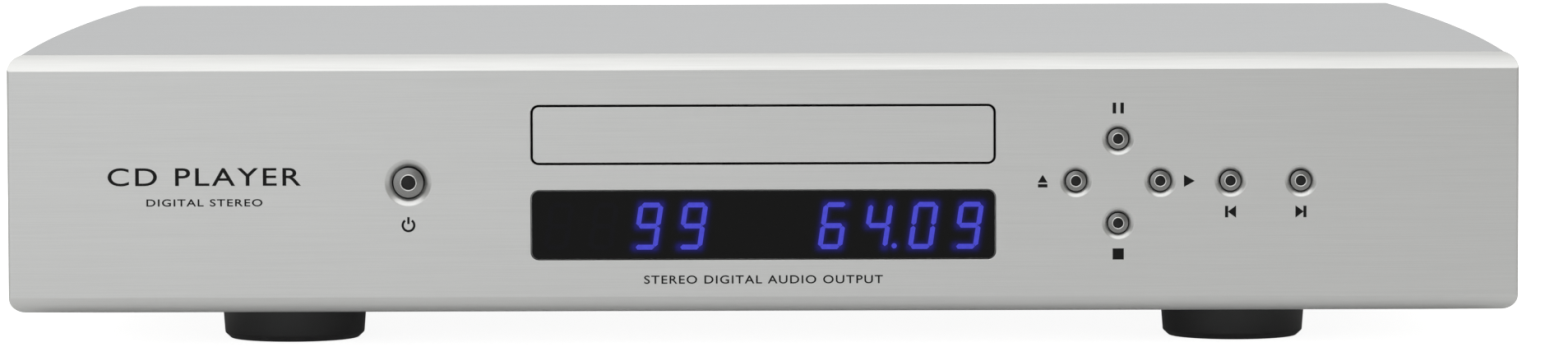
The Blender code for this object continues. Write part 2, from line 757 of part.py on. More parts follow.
def clamp(plastic, steel):
    """Bridge over the tray and the magnetic puck that hangs in it."""
    low, high = BRIDGE_Z
    reach = BRIDGE_REACH
    outer = LOADER_WALL[1]
    bm = bmesh.new()
    add_box(bm, (-outer, DISC_Y - reach, low), (outer, DISC_Y + reach, high))
    bridge = node("clamp_bridge", bm, plastic)
    legs = bmesh.new()
    for side in (-1, 1):
        left, right = sorted((side * (LOADER_WALL[0] + 0.2), side * outer))
        foot = LOADER_WALL_TOP + GAP
        add_box(legs, (left, DISC_Y - reach, foot), (right, DISC_Y + reach, low + 1.0))
    combine(bridge, "UNION", legs, "legs")
    hole = bmesh.new()
    add_rod(hole, (DISC_X, DISC_Y, 0.0), BRIDGE_HOLE, low - 2.0, high + 2.0, sides=ROUND)
    combine(bridge, "DIFFERENCE", hole, "hole")
    profile = (
        (0.0, PUCK_BOTTOM),
        (PUCK_RADIUS - 1.0, PUCK_BOTTOM),
        (PUCK_RADIUS, PUCK_BOTTOM + 0.8),
        (PUCK_RADIUS, low - 2 * GAP),
        (PUCK_NECK, low - 2 * GAP),
        (PUCK_NECK, high + 0.5),
        (PUCK_CAP, high + 0.5),
        (PUCK_CAP, PUCK_TOP),
        (0.0, PUCK_TOP),
    )
    bm = bmesh.new()
    add_turned(bm, profile, (DISC_X, DISC_Y, 0.0))
    node("clamp_puck", bm, steel, (DISC_X, DISC_Y, PUCK_BOTTOM))


def lift(body, plastic, rubber):
    """Tilting frame, its four grommets, and the cam slider that raises it."""
    low, high = FRAME_Z
    bm = bmesh.new()
    add_box(bm, (-FRAME_HALF, FRAME_FRONT, low), (FRAME_HALF, PIVOT[1] + 4.0, high))
    frame = node("lift_frame", bm, plastic, PIVOT, body)
    window = bmesh.new()
    corner = (-FRAME_WINDOW, FRAME_FRONT + 9.0, low - 2.0)
    add_box(window, corner, (FRAME_WINDOW, PIVOT[1] - 8.0, high + 2.0))
    combine(frame, "DIFFERENCE", window, "window")
    pins = bmesh.new()
    add_rod(pins, PIVOT, PIN_RADIUS, -PIN_END, -FRAME_HALF + 3.0, "X")
    add_rod(pins, PIVOT, PIN_RADIUS, FRAME_HALF - 3.0, PIN_END, "X")
    add_rod(pins, PIVOT, FOLLOWER_RADIUS, FOLLOWER_END, FRAME_FRONT + 3.0, "Y")
    combine(frame, "UNION", pins, "pins")

    corners = (
        ("grommet_front_left", -GROMMET_X, FRAME_FRONT + 4.5),
        ("grommet_front_right", GROMMET_X, FRAME_FRONT + 4.5),
        ("grommet_rear_left", -GROMMET_X, PIVOT[1] - 9.0),
        ("grommet_rear_right", GROMMET_X, PIVOT[1] - 9.0),
    )
    end, waist = GROMMET
    profile = (
        (0.0, high + GAP),
        (end, high + GAP),
        (waist, (high + PLATE_Z[0]) / 2),
        (end, PLATE_Z[0] - GAP),
        (0.0, PLATE_Z[0] - GAP),
    )
    for name, x, y in corners:
        bm = bmesh.new()
        add_turned(bm, profile, (x, y, 0.0), sides=SMALL_ROUND)
        node(name, bm, rubber, (x, y, high), body)

    near, far = CAM_Y
    middle = (near + far) / 2
    drop = (middle - PIVOT[1]) * sin(LIFT_ANGLE)
    bm = bmesh.new()
    add_box(bm, (CAM_X[0], near, CAM_Z[0]), (CAM_X[1], far, CAM_Z[1]))
    slider = node("cam_slider", bm, plastic, (0.0, middle, PIVOT[2]))
    hook = bmesh.new()
    hook_front = LOADER_FRONT - 1.0
    add_box(hook, (CAM_X[0], hook_front, CAM_Z[1] - 1.6), (CAM_X[1], middle, CAM_Z[1]))
    combine(slider, "UNION", hook, "hook")
    slot = bmesh.new()
    add_outline(slot, slanted_slot(drop, CAM_SLOT), near - 5.0, far + 5.0, "Y")
    combine(slider, "DIFFERENCE", slot, "slot")


def slanted_slot(drop, radius):
    """Outline in X and Z of the cam's slot, from the raised to the lowered pin."""
    heading = atan2(drop, -CAM_TRAVEL)
    points = []
    for x, z, start in ((-CAM_TRAVEL, drop, heading - pi / 2), (0.0, 0.0, heading + pi / 2)):
        for step in range(9):
            angle = start + pi * step / 8
            points.append((x + radius * cos(angle), PIVOT[2] + z + radius * sin(angle)))
    return points


def traverse(body, steel, plastic, glass, white):
    """Metal plate with the spindle, the rods and the pickup."""
    low, high = PLATE_Z
    front = FRAME_FRONT + 1.0
    rear = PIVOT[1] - 5.0
    bm = bmesh.new()
    add_box(bm, (-FRAME_HALF, front, low), (FRAME_HALF, rear, high))
    plate = node("traverse_plate", bm, steel, (DISC_X, DISC_Y, low), body)
    cuts = bmesh.new()
    add_box(cuts, (-13.0, DISC_Y + 14.5, low - 2.0), (13.0, rear - 8.0, high + 2.0))
    add_rod(cuts, (DISC_X, DISC_Y, 0.0), 4.0, low - 2.0, high + 2.0)
    add_rod(cuts, (ROD_X + 13.3, SLED_Y, 0.0), 2.0, low - 2.0, high + 2.0)
    combine(plate, "DIFFERENCE", cuts, "holes")
    rod_front = DISC_Y + 11.5
    rod_rear = rear - 3.0
    lugs = bmesh.new()
    for x in (-ROD_X, ROD_X):
        for y0, y1 in ((rod_front - 3.0, rod_front - GAP), (rod_rear + GAP, rod_rear + 3.0)):
            add_box(lugs, (x - 2.0, y0, low + 1.0), (x + 2.0, y1, ROD_Z + 2.0))
    combine(plate, "UNION", lugs, "lugs")
    for name, x in (("guide_rod_left", -ROD_X), ("guide_rod_right", ROD_X)):
        bm = bmesh.new()
        add_rod(bm, (x, 0.0, ROD_Z), ROD_RADIUS, rod_front, rod_rear, "Y")
        node(name, bm, steel, (x, rod_front, ROD_Z), body)

    bm = bmesh.new()
    radius, bottom = SPINDLE_MOTOR
    add_rod(bm, (DISC_X, DISC_Y, 0.0), radius, bottom, low - GAP, sides=ROUND)
    node("spindle_motor", bm, steel, (DISC_X, DISC_Y, bottom), body)
    under, edge, top = TABLE_Z
    profile = (
        (0.0, low + 0.1),
        (SPINDLE, low + 0.1),
        (SPINDLE, under),
        (TABLE_RADIUS, edge),
        (TABLE_RADIUS, top),
        *HUB,
        (0.0, HUB[-1][1]),
    )
    bm = bmesh.new()
    add_turned(bm, profile, (DISC_X, DISC_Y, 0.0))
    node("turntable", bm, plastic, (DISC_X, DISC_Y, low), body)

    bm = bmesh.new()
    sled_x = pickup_edge() + DEDENDUM * MODULE + 1.0 + SLED_PITCH
    spot = (sled_x, SLED_Y, 0.0)
    add_rod(bm, spot, SLED_MOTOR, FRAME_Z[1] + GAP, low - GAP, sides=ROUND)
    node("sled_motor", bm, steel, (sled_x, SLED_Y, low), body)
    bm = bmesh.new()
    add_outline(bm, gear_outline(SLED_TEETH, (sled_x, SLED_Y)), *SLED_GEAR_Z)
    gear = node("sled_gear", bm, white, (sled_x, SLED_Y, low), body)
    shaft = bmesh.new()
    add_rod(shaft, spot, 1.0, low + 0.1, SLED_GEAR_Z[0] + 1.0)
    combine(gear, "UNION", shaft, "shaft")

    carriage = pivot("pickup_slide", (DISC_X, LENS_Y, ROD_Z), body)
    pickup(carriage, sled_x, plastic, glass)


def pickup_edge():
    """Right-hand face of the pickup's body, where its rack starts."""
    return ROD_X + 4.5


def pickup(carriage, sled_x, plastic, glass):
    """Laser pickup on two rods, with its rack and lens."""
    edge = pickup_edge()
    front = LENS_Y - 11.0
    rear = LENS_Y + 12.0
    low, high = PICKUP_Z
    bm = bmesh.new()
    add_box(bm, (-edge, front, low), (edge, rear, high))
    body = node("optical_pickup", bm, plastic, (DISC_X, LENS_Y, ROD_Z), carriage)
    parts = bmesh.new()
    radius, top = LENS_BARREL
    add_rod(parts, (DISC_X, LENS_Y, 0.0), radius, high - 1.0, top, sides=ROUND)
    pitch_line = sled_x - SLED_PITCH
    points = rack_outline(edge - 1.0, pitch_line, SLED_Y, SLED_Y - 39.0, SLED_Y + 4.0)
    add_outline(parts, points, *SLED_GEAR_Z)
    combine(body, "UNION", parts, "parts")
    bores = bmesh.new()
    for x in (-ROD_X, ROD_X):
        add_rod(bores, (x, 0.0, ROD_Z), ROD_RADIUS + 0.35, front - 2.0, rear + 2.0, "Y")
    combine(body, "DIFFERENCE", bores, "bores")
    low, high = LENS_Z
    profile = (
        (0.0, low),
        (LENS_RADIUS, low),
        (LENS_RADIUS, low + 0.6),
        (LENS_RADIUS - 1.0, high - 0.2),
        (0.0, high),
    )
    bm = bmesh.new()
    add_turned(bm, profile, (DISC_X, LENS_Y, 0.0), sides=SMALL_ROUND)
    node("objective_lens", bm, glass, (DISC_X, LENS_Y, low), carriage)


def power_section(green, copper, steel):
    """Toroidal mains transformer, its clamp and the supply board."""
    x, y = TRANSFORMER
    ring, tube = TRANSFORMER_RADII
    middle = BASE_TOP + GAP + tube
    angles = [2 * pi * step / 10 for step in range(10)]
    profile = [(ring + tube * cos(a), middle + tube * sin(a)) for a in angles]
    bm = bmesh.new()
    add_turned(bm, profile, (x, y, 0.0), sides=24)
    node("toroidal_transformer", bm, copper, (x, y, middle))
    top = middle + tube + GAP
    bm = bmesh.new()
    profile = (
        (0.0, BASE_TOP + GAP),
        (5.0, BASE_TOP + GAP),
        (5.0, top),
        (30.0, top),
        (30.0, top + 1.5),
        (6.0, top + 1.5),
        (6.0, top + 5.0),
        (0.0, top + 5.0),
    )
    add_turned(bm, profile, (x, y, 0.0))
    node("transformer_clamp", bm, steel, (x, y, top))
    supply = populated_board("supply_board", green, SUPPLY_BOARD)
    parts = bmesh.new()
    level = BOARD_Z + BOARD / 2
    for cap_x in (-178.0, -150.0, -122.0):
        for cap_y in (-82.0, -52.0):
            add_rod(parts, (cap_x, cap_y, 0.0), 11.0, level, 52.0)
    add_box(parts, (-102.0, -96.0, level), (-90.0, -12.0, 46.0))
    combine(supply, "UNION", parts, "capacitors")


def populated_board(name, look, corners):
    """A printed board on four posts; corners are its lowest and highest X and Y."""
    (x0, y0), (x1, y1) = corners
    bm = bmesh.new()
    add_box(bm, (x0, y0, BOARD_Z), (x1, y1, BOARD_Z + BOARD))
    board = node(name, bm, look)
    posts = bmesh.new()
    for x in (x0 + POST_INSET, x1 - POST_INSET):
        for y in (y0 + POST_INSET, y1 - POST_INSET):
            add_rod(posts, (x, y, 0.0), BOARD_POST, BASE_TOP + GAP, BOARD_Z + BOARD / 2)
    combine(board, "UNION", posts, "posts")
    return board


def audio_section(green):
    """Converter and output board with its chips and capacitors."""
    board = populated_board("audio_board", green, AUDIO_BOARD)
    parts = bmesh.new()
    level = BOARD_Z + BOARD / 2
    chip = 14.0
    for y in (-80.0, -40.0, 0.0, 40.0, 80.0):
        add_box(parts, (104.0, y, level), (104.0 + chip, y + chip, 24.0))
        add_rod(parts, (140.0, y + chip / 2, 0.0), 5.0, level, 33.0)
        add_rod(parts, (166.0, y + chip / 2, 0.0), 6.5, level, 38.0)
    combine(board, "UNION", parts, "parts")


def rear_panel(look):
    """Rear plate with the mains, switch and signal cut-outs."""
    half = BOW_REAR - CHEEK - GAP
    bm = bmesh.new()
    low = (-half, CASE_REAR - PLATE, BASE_BOTTOM)
    add_box(bm, low, (half, CASE_REAR, COVER_BOTTOM - GAP))
    panel = node("rear_panel", bm, look)
    cuts = bmesh.new()
    before = CASE_REAR - PLATE - 2.0
    after = CASE_REAR + 2.0
    for fitting in (INLET, ROCKER):
        half_x = fitting["body"][0] / 2 + GAP
        half_z = fitting["body"][1] / 2 + GAP
        corner = (fitting["x"] - half_x, before, fitting["z"] - half_z)
        add_box(cuts, corner, (fitting["x"] + half_x, after, fitting["z"] + half_z))
    for _, x, z in SOCKETS:
        add_rod(cuts, (x, 0.0, z), SOCKET_RADIUS + GAP, before, after, "Y", ROUND)
    combine(panel, "DIFFERENCE", cuts, "cutouts")


def flanged_block(name, look, fitting, depth):
    """A snap-in fitting: a body through the rear plate and a flange on its outside."""
    x, z = fitting["x"], fitting["z"]
    outside = CASE_REAR + GAP
    half_x, half_z = (size / 2 for size in fitting["body"])
    bm = bmesh.new()
    low = (x - half_x, CASE_REAR - depth, z - half_z)
    add_box(bm, low, (x + half_x, outside + 1.0, z + half_z))
    piece = node(name, bm, look, (x, CASE_REAR, z))
    flange = bmesh.new()
    outline = rounded_rectangle(fitting["flange"], 2.0, (x, z))
    add_outline(flange, outline, outside, outside + FITTING_FLANGE, "Y")
    combine(piece, "UNION", flange, "flange")
    return piece


def rear_fittings(black, gold):
    """Mains inlet, rocker switch and phono sockets."""
    face = CASE_REAR + GAP + FITTING_FLANGE
    inlet = flanged_block("mains_inlet", black, INLET, 20.0)
    x, z = INLET["x"], INLET["z"]
    cavity = bmesh.new()
    width, depth, height = INLET_CAVITY
    low = (x - width / 2, face - depth, z - height / 2)
    add_box(cavity, low, (x + width / 2, face + 2.0, z + height / 2))
    combine(inlet, "DIFFERENCE", cavity, "cavity")
    pins = bmesh.new()
    for pin_x, pin_z in ((x - 7.0, z - 2.0), (x, z + 2.0), (x + 7.0, z - 2.0)):
        low = (pin_x - 1.0, face - depth - 1.5, pin_z - 2.0)
        add_box(pins, low, (pin_x + 1.0, face - 1.5, pin_z + 2.0))
    combine(inlet, "UNION", pins, "pins")

    switch = flanged_block("mains_switch", black, ROCKER, 16.0)
    x, z = ROCKER["x"], ROCKER["z"]
    well = bmesh.new()
    add_box(well, (x - 8.0, CASE_REAR - 8.0, z - 5.0), (x + 8.0, face + 2.0, z + 5.0))
    combine(switch, "DIFFERENCE", well, "well")
    bm = bmesh.new()
    half = ROCKER_SIZE[0] / 2
    seen_from_above = [(-half, -1.0), (half, -1.0), (half, 0.9), (0.0, 0.1), (-half, 3.0)]
    axis_y = CASE_REAR + 0.4
    outline = [(x + across, axis_y + out) for across, out in seen_from_above]
    add_outline(bm, outline, z - ROCKER_SIZE[1] / 2, z + ROCKER_SIZE[1] / 2)
    node("mains_rocker", bm, black, (x, axis_y, z))

    nut, nut_top = SOCKET_NUT
    for name, x, z in SOCKETS:
        profile = (
            (0.0, CASE_REAR - 12.0),
            (SOCKET_RADIUS - 0.6, CASE_REAR - 12.0),
            (SOCKET_RADIUS - 0.6, CASE_REAR + GAP),
            (nut, CASE_REAR + GAP),
            (nut, CASE_REAR + nut_top),
            (SOCKET_RADIUS, CASE_REAR + nut_top),
            (SOCKET_RADIUS, SOCKET_END),
            (SOCKET_BORE, SOCKET_END),
            (SOCKET_BORE, SOCKET_END - 9.0),
            (0.0, SOCKET_END - 9.0),
        )
        bm = bmesh.new()
        add_turned(bm, profile, (x, 0.0, z), "Y")
        node(name, bm, gold, (x, CASE_REAR, z))


def main():
    """Clears the scene and builds every piece."""
    for thing in list(bpy.data.objects):
        bpy.data.objects.remove(thing)
    silver = finish("brushed_aluminium", (0.62, 0.62, 0.61), 0.35, 1.0)
    plated = finish("plated_steel", (0.52, 0.52, 0.52), 0.42, 1.0)
    steel = finish("bare_steel", (0.60, 0.60, 0.62), 0.30, 1.0)
    black = finish("black_plastic", (0.02, 0.02, 0.02), 0.40)
    window = finish("smoked_acrylic", (0.01, 0.01, 0.012), 0.08)
    rubber = finish("black_rubber", (0.03, 0.03, 0.03), 0.70)
    tray_grey = finish("dark_tray_plastic", (0.05, 0.05, 0.055), 0.50)
    white = finish("white_acetal", (0.75, 0.74, 0.70), 0.45)
    green = finish("circuit_board", (0.02, 0.14, 0.06), 0.45)
    lamp = finish("blue_display", (0.03, 0.03, 0.35), 0.30)
    copper = finish("wound_transformer", (0.42, 0.20, 0.09), 0.45, 0.3)
    gold = finish("gold_plating", (0.83, 0.62, 0.25), 0.25, 1.0)
    glass = finish("lens_glass", (0.35, 0.38, 0.55), 0.05)

    front_panel(silver)
    case(silver, plated)
    rear_panel(plated)
    feet(rubber)
    display(window, green, lamp)
    buttons(silver)
    places = [(x, z) for _, x, z in SMALL_BUTTONS]
    switch_board("button_board", green, BUTTON_BOARD, places)
    switch_board("power_board", green, POWER_BOARD, [POWER_BUTTON[1:]])

    drawer(pivot("tray_slide", (DISC_X, DISC_Y, TRAY_BOTTOM)), silver, tray_grey)
    loader_base(tray_grey)
    gear_train(white, rubber, steel)
    clamp(tray_grey, steel)
    frame = pivot("traverse_lift", PIVOT)
    lift(frame, tray_grey, rubber)
    traverse(frame, steel, black, glass, white)

    power_section(green, copper, steel)
    audio_section(green)
    rear_fittings(black, gold)


main()
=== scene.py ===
"""Finished looks of a full-width CD player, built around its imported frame."""

from __future__ import annotations

import functools
import logging
import math
from dataclasses import dataclass
from enum import Enum
from typing import Iterable, Sequence

import bmesh
import bpy
from bmesh.types import BMEdge, BMesh, BMVert
from bpy.types import Material, Node, NodeSocket, Object
from mathutils import Matrix, Quaternion, Vector


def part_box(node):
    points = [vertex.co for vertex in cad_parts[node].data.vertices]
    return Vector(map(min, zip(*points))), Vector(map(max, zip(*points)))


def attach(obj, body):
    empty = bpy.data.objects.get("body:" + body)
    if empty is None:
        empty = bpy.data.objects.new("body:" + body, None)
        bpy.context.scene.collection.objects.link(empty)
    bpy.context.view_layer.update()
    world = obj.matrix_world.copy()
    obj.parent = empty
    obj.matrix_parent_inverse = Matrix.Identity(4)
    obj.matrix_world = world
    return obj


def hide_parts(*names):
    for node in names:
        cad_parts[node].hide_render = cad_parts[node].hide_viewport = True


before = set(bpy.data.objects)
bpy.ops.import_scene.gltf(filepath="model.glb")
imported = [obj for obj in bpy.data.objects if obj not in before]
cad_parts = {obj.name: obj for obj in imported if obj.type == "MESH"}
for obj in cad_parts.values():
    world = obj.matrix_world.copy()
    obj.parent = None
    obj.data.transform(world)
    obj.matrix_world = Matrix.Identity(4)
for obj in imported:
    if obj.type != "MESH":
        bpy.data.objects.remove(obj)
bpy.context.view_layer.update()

Colour = tuple[float, float, float]
Point = tuple[float, float]
Place = tuple[float, float, float]
Line = tuple[Vector, Vector]

MM = 0.001
PAST = 2.0 * MM
ORIGIN: Place = (0.0, 0.0, 0.0)
UNIT: Place = (1.0, 1.0, 1.0)
WHITE: Colour = (1.0, 1.0, 1.0)
BLACK: Colour = (0.0, 0.0, 0.0)
QUARTER_TURN = math.pi / 2
GLOW = "glow"
log = logging.getLogger("cd_player")


class Axis(Enum):
    """A direction of the frame."""

    X = 0
    Y = 1
    Z = 2


class Symbol(Enum):
    """What is printed beside a button."""

    POWER = "power"
    EJECT = "eject"
    PLAY = "play"
    PAUSE = "pause"
    STOP = "stop"
    PREVIOUS = "previous"
    NEXT = "next"


# ---------------------------------------------------------------- finishes


class Graph:
    """Builds the node tree of one material."""

    def __init__(self, name: str) -> None:
        """Starts a material with a bare shader.

        Args:
            name: the material's name.
        """
        self.material = bpy.data.materials.new(name)
        self.material.use_nodes = True
        self.tree = self.material.node_tree
        self.shader = self.tree.nodes["Principled BSDF"]

    def node(self, kind: str, **settings: object) -> Node:
        """Adds a node and sets its properties.

        Args:
            kind: the node's type name.
            settings: property names and values.

        Returns:
            The new node.
        """
        made = self.tree.nodes.new(kind)
        for key, value in settings.items():
            setattr(made, key, value)
        return made

    def feed(self, target: NodeSocket, value: NodeSocket | float | Sequence[float]) -> None:
        """Links a socket or sets a constant.

        Args:
            target: the input to fill.
            value: an output socket or a constant.
        """
        if isinstance(value, NodeSocket):
            self.tree.links.new(value, target)
        else:
            target.default_value = value

    def set(self, **inputs: NodeSocket | float | Sequence[float]) -> None:
        """Fills shader inputs, with underscores for the spaces in their names."""
        for key, value in inputs.items():
            self.feed(self.shader.inputs[key.replace("_", " ")], value)

    def place(self, scale: Place = UNIT, centre: Place = ORIGIN) -> NodeSocket:
        """Object coordinates, centred and scaled.

        Args:
            scale: multiplier on each axis.
            centre: the point that becomes the pattern's origin.

        Returns:
            The vector output.
        """
        mapping = self.node("ShaderNodeMapping")
        self.feed(mapping.inputs["Vector"], self.node("ShaderNodeTexCoord").outputs["Object"])
        shift = [-where * size for where, size in zip(centre, scale)]
        self.feed(mapping.inputs["Location"], shift)
        self.feed(mapping.inputs["Scale"], scale)
        return mapping.outputs["Vector"]

    def along(self, centre: Place = ORIGIN) -> dict[Axis, NodeSocket]:
        """Object coordinates about a point, one value for each axis.

        Args:
            centre: the point.

        Returns:
            The three value outputs.
        """
        parts = self.node("ShaderNodeSeparateXYZ")
        self.feed(parts.inputs[0], self.place(UNIT, centre))
        return {axis: parts.outputs[axis.value] for axis in Axis}

    def noise(self, where: NodeSocket, scale: float = 1.0, detail: float = 2.0) -> NodeSocket:
        """Smooth noise.

        Args:
            where: the vector to read.
            scale: the noise's scale.
            detail: octaves.

        Returns:
            The value output.
        """
        made = self.node("ShaderNodeTexNoise")
        self.feed(made.inputs["Vector"], where)
        self.feed(made.inputs["Scale"], scale)
        self.feed(made.inputs["Detail"], detail)
        return made.outputs["Fac"]

    def rings(self, centre: Place, axis: Axis, pitch: float) -> NodeSocket:
        """Noise that changes only with the distance from an axis, as lathe marks do.

        Args:
            centre: a point on the axis.
            axis: the axis's direction.
            pitch: width of a mark.

        Returns:
            The value output.
        """
        flat = tuple(0.0 if which is axis else 1.0 / pitch for which in Axis)
        length = self.node("ShaderNodeVectorMath", operation="LENGTH")
        self.feed(length.inputs[0], self.place(flat, centre))
        made = self.node("ShaderNodeTexNoise", noise_dimensions="1D")
        self.feed(made.inputs["W"], length.outputs["Value"])
        self.feed(made.inputs["Scale"], 1.0)
        self.feed(made.inputs["Detail"], 2.0)
        return made.outputs["Fac"]

    def spread(
        self, value: NodeSocket, low: float = 0.0, high: float = 1.0, tight: float = 0.3
    ) -> NodeSocket:
        """Maps the middle part of a 0 to 1 value onto a new range.

        Args:
            value: the value output to map.
            low: the result at the low end.
            high: the result at the high end.
            tight: how much of each end is cut off.

        Returns:
            The mapped value output.
        """
        made = self.node("ShaderNodeMapRange")
        ends = {"From Min": tight, "From Max": 1.0 - tight, "To Min": low, "To Max": high}
        for name, amount in ends.items():
            self.feed(made.inputs[name], amount)
        self.feed(made.inputs["Value"], value)
        return made.outputs["Result"]

    def tint(
        self, value: NodeSocket, first: Colour | NodeSocket, second: Colour | NodeSocket
    ) -> NodeSocket:
        """Mixes two colours.

        Args:
            value: 0 for the first colour, 1 for the second.
            first: linear colour, or an output that gives one.
            second: the same.

        Returns:
            The colour output.
        """
        made = self.node("ShaderNodeMix", data_type="RGBA")
        self.feed(made.inputs["Factor"], value)
        for name, part in (("A", first), ("B", second)):
            self.feed(made.inputs[name], part if isinstance(part, NodeSocket) else (*part, 1.0))
        return made.outputs["Result"]

    def math(self, kind: str, first: NodeSocket, second: NodeSocket | float = 0.0) -> NodeSocket:
        """One arithmetic step.

        Args:
            kind: the operation's name.
            first: left value.
            second: right value.

        Returns:
            The value output.
        """
        made = self.node("ShaderNodeMath", operation=kind)
        self.feed(made.inputs[0], first)
        self.feed(made.inputs[1], second)
        return made.outputs["Value"]

    def relief(self, height: NodeSocket, depth: float, strength: float) -> None:
        """Bumps the shader.

        Args:
            height: 0 to 1 height.
            depth: distance in metres that 0 to 1 stands for.
            strength: how much of it shows.
        """
        bump = self.node("ShaderNodeBump")
        self.feed(bump.inputs["Height"], height)
        self.feed(bump.inputs["Distance"], depth)
        self.feed(bump.inputs["Strength"], strength)
        self.feed(self.shader.inputs["Normal"], bump.outputs["Normal"])


def shade(colour: Colour, factor: float) -> Colour:
    """A colour times a factor, at most white."""
    return tuple(min(1.0, part * factor) for part in colour)


@dataclass(frozen=True)
class Finish:
    """A surface finish; each kind dresses a material's graph in its own way."""

    name: str
    slot: str
    colour: Colour
    roughness: float
    metallic: float = 0.0
    gloss: float = 0.5

    def dress(self, graph: Graph) -> None:
        """Sets what every finish has."""
        graph.set(Metallic=self.metallic, Roughness=self.roughness)
        graph.set(Base_Color=(*self.colour, 1.0), Specular_IOR_Level=self.gloss)

    def tone(self, graph: Graph, value: NodeSocket, dark: float, light: float) -> None:
        """Runs the colour from one multiple of itself to another as a value rises."""
        shades = shade(self.colour, dark), shade(self.colour, light)
        graph.set(Base_Color=graph.tint(value, *shades))

    def wear(self, graph: Graph, value: NodeSocket, low: float, high: float) -> None:
        """Adds low to high to the roughness as a value rises."""
        graph.set(Roughness=graph.spread(value, self.roughness + low, self.roughness + high))


@functools.cache
def material_of(finish: Finish) -> Material:
    """The material of a finish, made once.

    Args:
        finish: the finish to make.

    Returns:
        Its material.
    """
    graph = Graph(finish.name)
    finish.dress(graph)
    return graph.material


@dataclass(frozen=True)
class Brushed(Finish):
    """Aluminium with straight brush marks along one axis, clear anodised."""

    along: Axis = Axis.X
    contrast: float = 0.03
    mark: float = 0.22 * MM
    length: float = 30 * MM
    depth: float = 0.004 * MM
    broader: float = 4.0
    broad_share: float = 0.25

    def dress(self, graph: Graph) -> None:
        """Long streaks in two sizes vary tone, gloss and relief.

        Args:
            graph: the material's graph.
        """
        super().dress(graph)
        fine = tuple(1 / (self.length if axis is self.along else self.mark) for axis in Axis)
        broad = tuple(size / self.broader for size in fine)
        streaks = graph.noise(graph.place(fine), detail=3.0)
        bands = graph.noise(graph.place(broad))
        both = graph.math(
            "ADD",
            graph.math("MULTIPLY", bands, self.broad_share),
            graph.math("MULTIPLY", streaks, 1 - self.broad_share),
        )
        self.tone(graph, graph.spread(both), 1 - self.contrast, 1 + self.contrast)
        self.wear(graph, both, low=0.05, high=-0.05)
        graph.relief(streaks, self.depth, strength=0.6)


@dataclass(frozen=True)
class Turned(Finish):
    """Metal with fine lathe marks round an axis."""

    centre: Place = ORIGIN
    axis: Axis = Axis.Y
    pitch: float = 0.12 * MM
    depth: float = 0.004 * MM

    def dress(self, graph: Graph) -> None:
        """Rings vary tone, gloss and relief.

        Args:
            graph: the material's graph.
        """
        super().dress(graph)
        rings = graph.rings(self.centre, self.axis, self.pitch)
        self.tone(graph, graph.spread(rings), dark=0.9, light=1.06)
        self.wear(graph, rings, low=0.04, high=-0.04)
        graph.relief(rings, self.depth, strength=0.5)


@dataclass(frozen=True)
class Moulded(Finish):
    """Plastic or rubber with a fine moulded grain and slight wear in its gloss."""

    grain: float = 0.35 * MM
    patch: float = 18 * MM
    depth: float = 0.01 * MM

    def dress(self, graph: Graph) -> None:
        """Grain in the relief and slow patches in the gloss.

        Args:
            graph: the material's graph.
        """
        super().dress(graph)
        grain = graph.noise(graph.place(), 1 / self.grain)
        patches = graph.noise(graph.place(), 1 / self.patch, detail=3.0)
        self.wear(graph, patches, low=-0.05, high=0.06)
        self.tone(graph, patches, dark=0.88, light=1.15)
        graph.relief(grain, self.depth, strength=0.5)


@dataclass(frozen=True)
class Sheet(Finish):
    """Plated or rolled metal with faint rolling lines and a soft spangle."""

    line: float = 0.5 * MM
    length: float = 60 * MM
    spangle: float = 9 * MM
    depth: float = 0.01 * MM

    def dress(self, graph: Graph) -> None:
        """Rolling lines along X over slow cloudy patches.

        Args:
            graph: the material's graph.
        """
        super().dress(graph)
        lines = graph.noise(graph.place((1 / self.length, 1 / self.line, 1 / self.line)))
        clouds = graph.noise(graph.place(), 1 / self.spangle, detail=4.0)
        both = graph.math("MULTIPLY", graph.math("ADD", lines, clouds), 0.5)
        self.tone(graph, graph.spread(both), dark=0.86, light=1.12)
        self.wear(graph, both, low=0.08, high=-0.06)
        graph.relief(clouds, self.depth, strength=0.4)


@dataclass(frozen=True)
class Board(Finish):
    """Printed board: solder mask over a maze of copper tracks, with dark parts on top."""

    track: float = 1.6 * MM
    copper: float = 0.03 * MM
    top: float = 1.0
    sleeve: Colour = (0.012, 0.013, 0.018)

    def dress(self, graph: Graph) -> None:
        """Straight-edged cells read as tracks below the mask; what stands above top is sleeved.

        Args:
            graph: the material's graph.
        """
        super().dress(graph)
        cells = graph.node("ShaderNodeTexVoronoi", distance="MANHATTAN", feature="F1")
        graph.feed(cells.inputs["Vector"], graph.place())
        graph.feed(cells.inputs["Scale"], 1 / (4 * self.track))
        edge = graph.spread(cells.outputs["Distance"], tight=0.4)
        mask = graph.tint(edge, shade(self.colour, 1.5), shade(self.colour, 0.7))
        above = graph.math("GREATER_THAN", graph.along()[Axis.Z], self.top)
        graph.set(Base_Color=graph.tint(above, mask, self.sleeve))
        graph.relief(edge, self.copper, strength=0.6)


@dataclass(frozen=True)
class Wound(Finish):
    """Taped winding of a ring transformer: overlapping turns round its centre."""

    centre: Place = ORIGIN
    turns: int = 84
    lap: float = 0.3 * MM

    def dress(self, graph: Graph) -> None:
        """Angle round the centre drives the edges of the turns.

        Args:
            graph: the material's graph.
        """
        super().dress(graph)
        parts = graph.along(self.centre)
        angle = graph.math("ARCTAN2", parts[Axis.Y], parts[Axis.X])
        turn = graph.math("FRACT", graph.math("MULTIPLY", angle, self.turns / math.tau))
        self.tone(graph, turn, dark=0.6, light=1.25)
        graph.relief(turn, self.lap, strength=0.7)


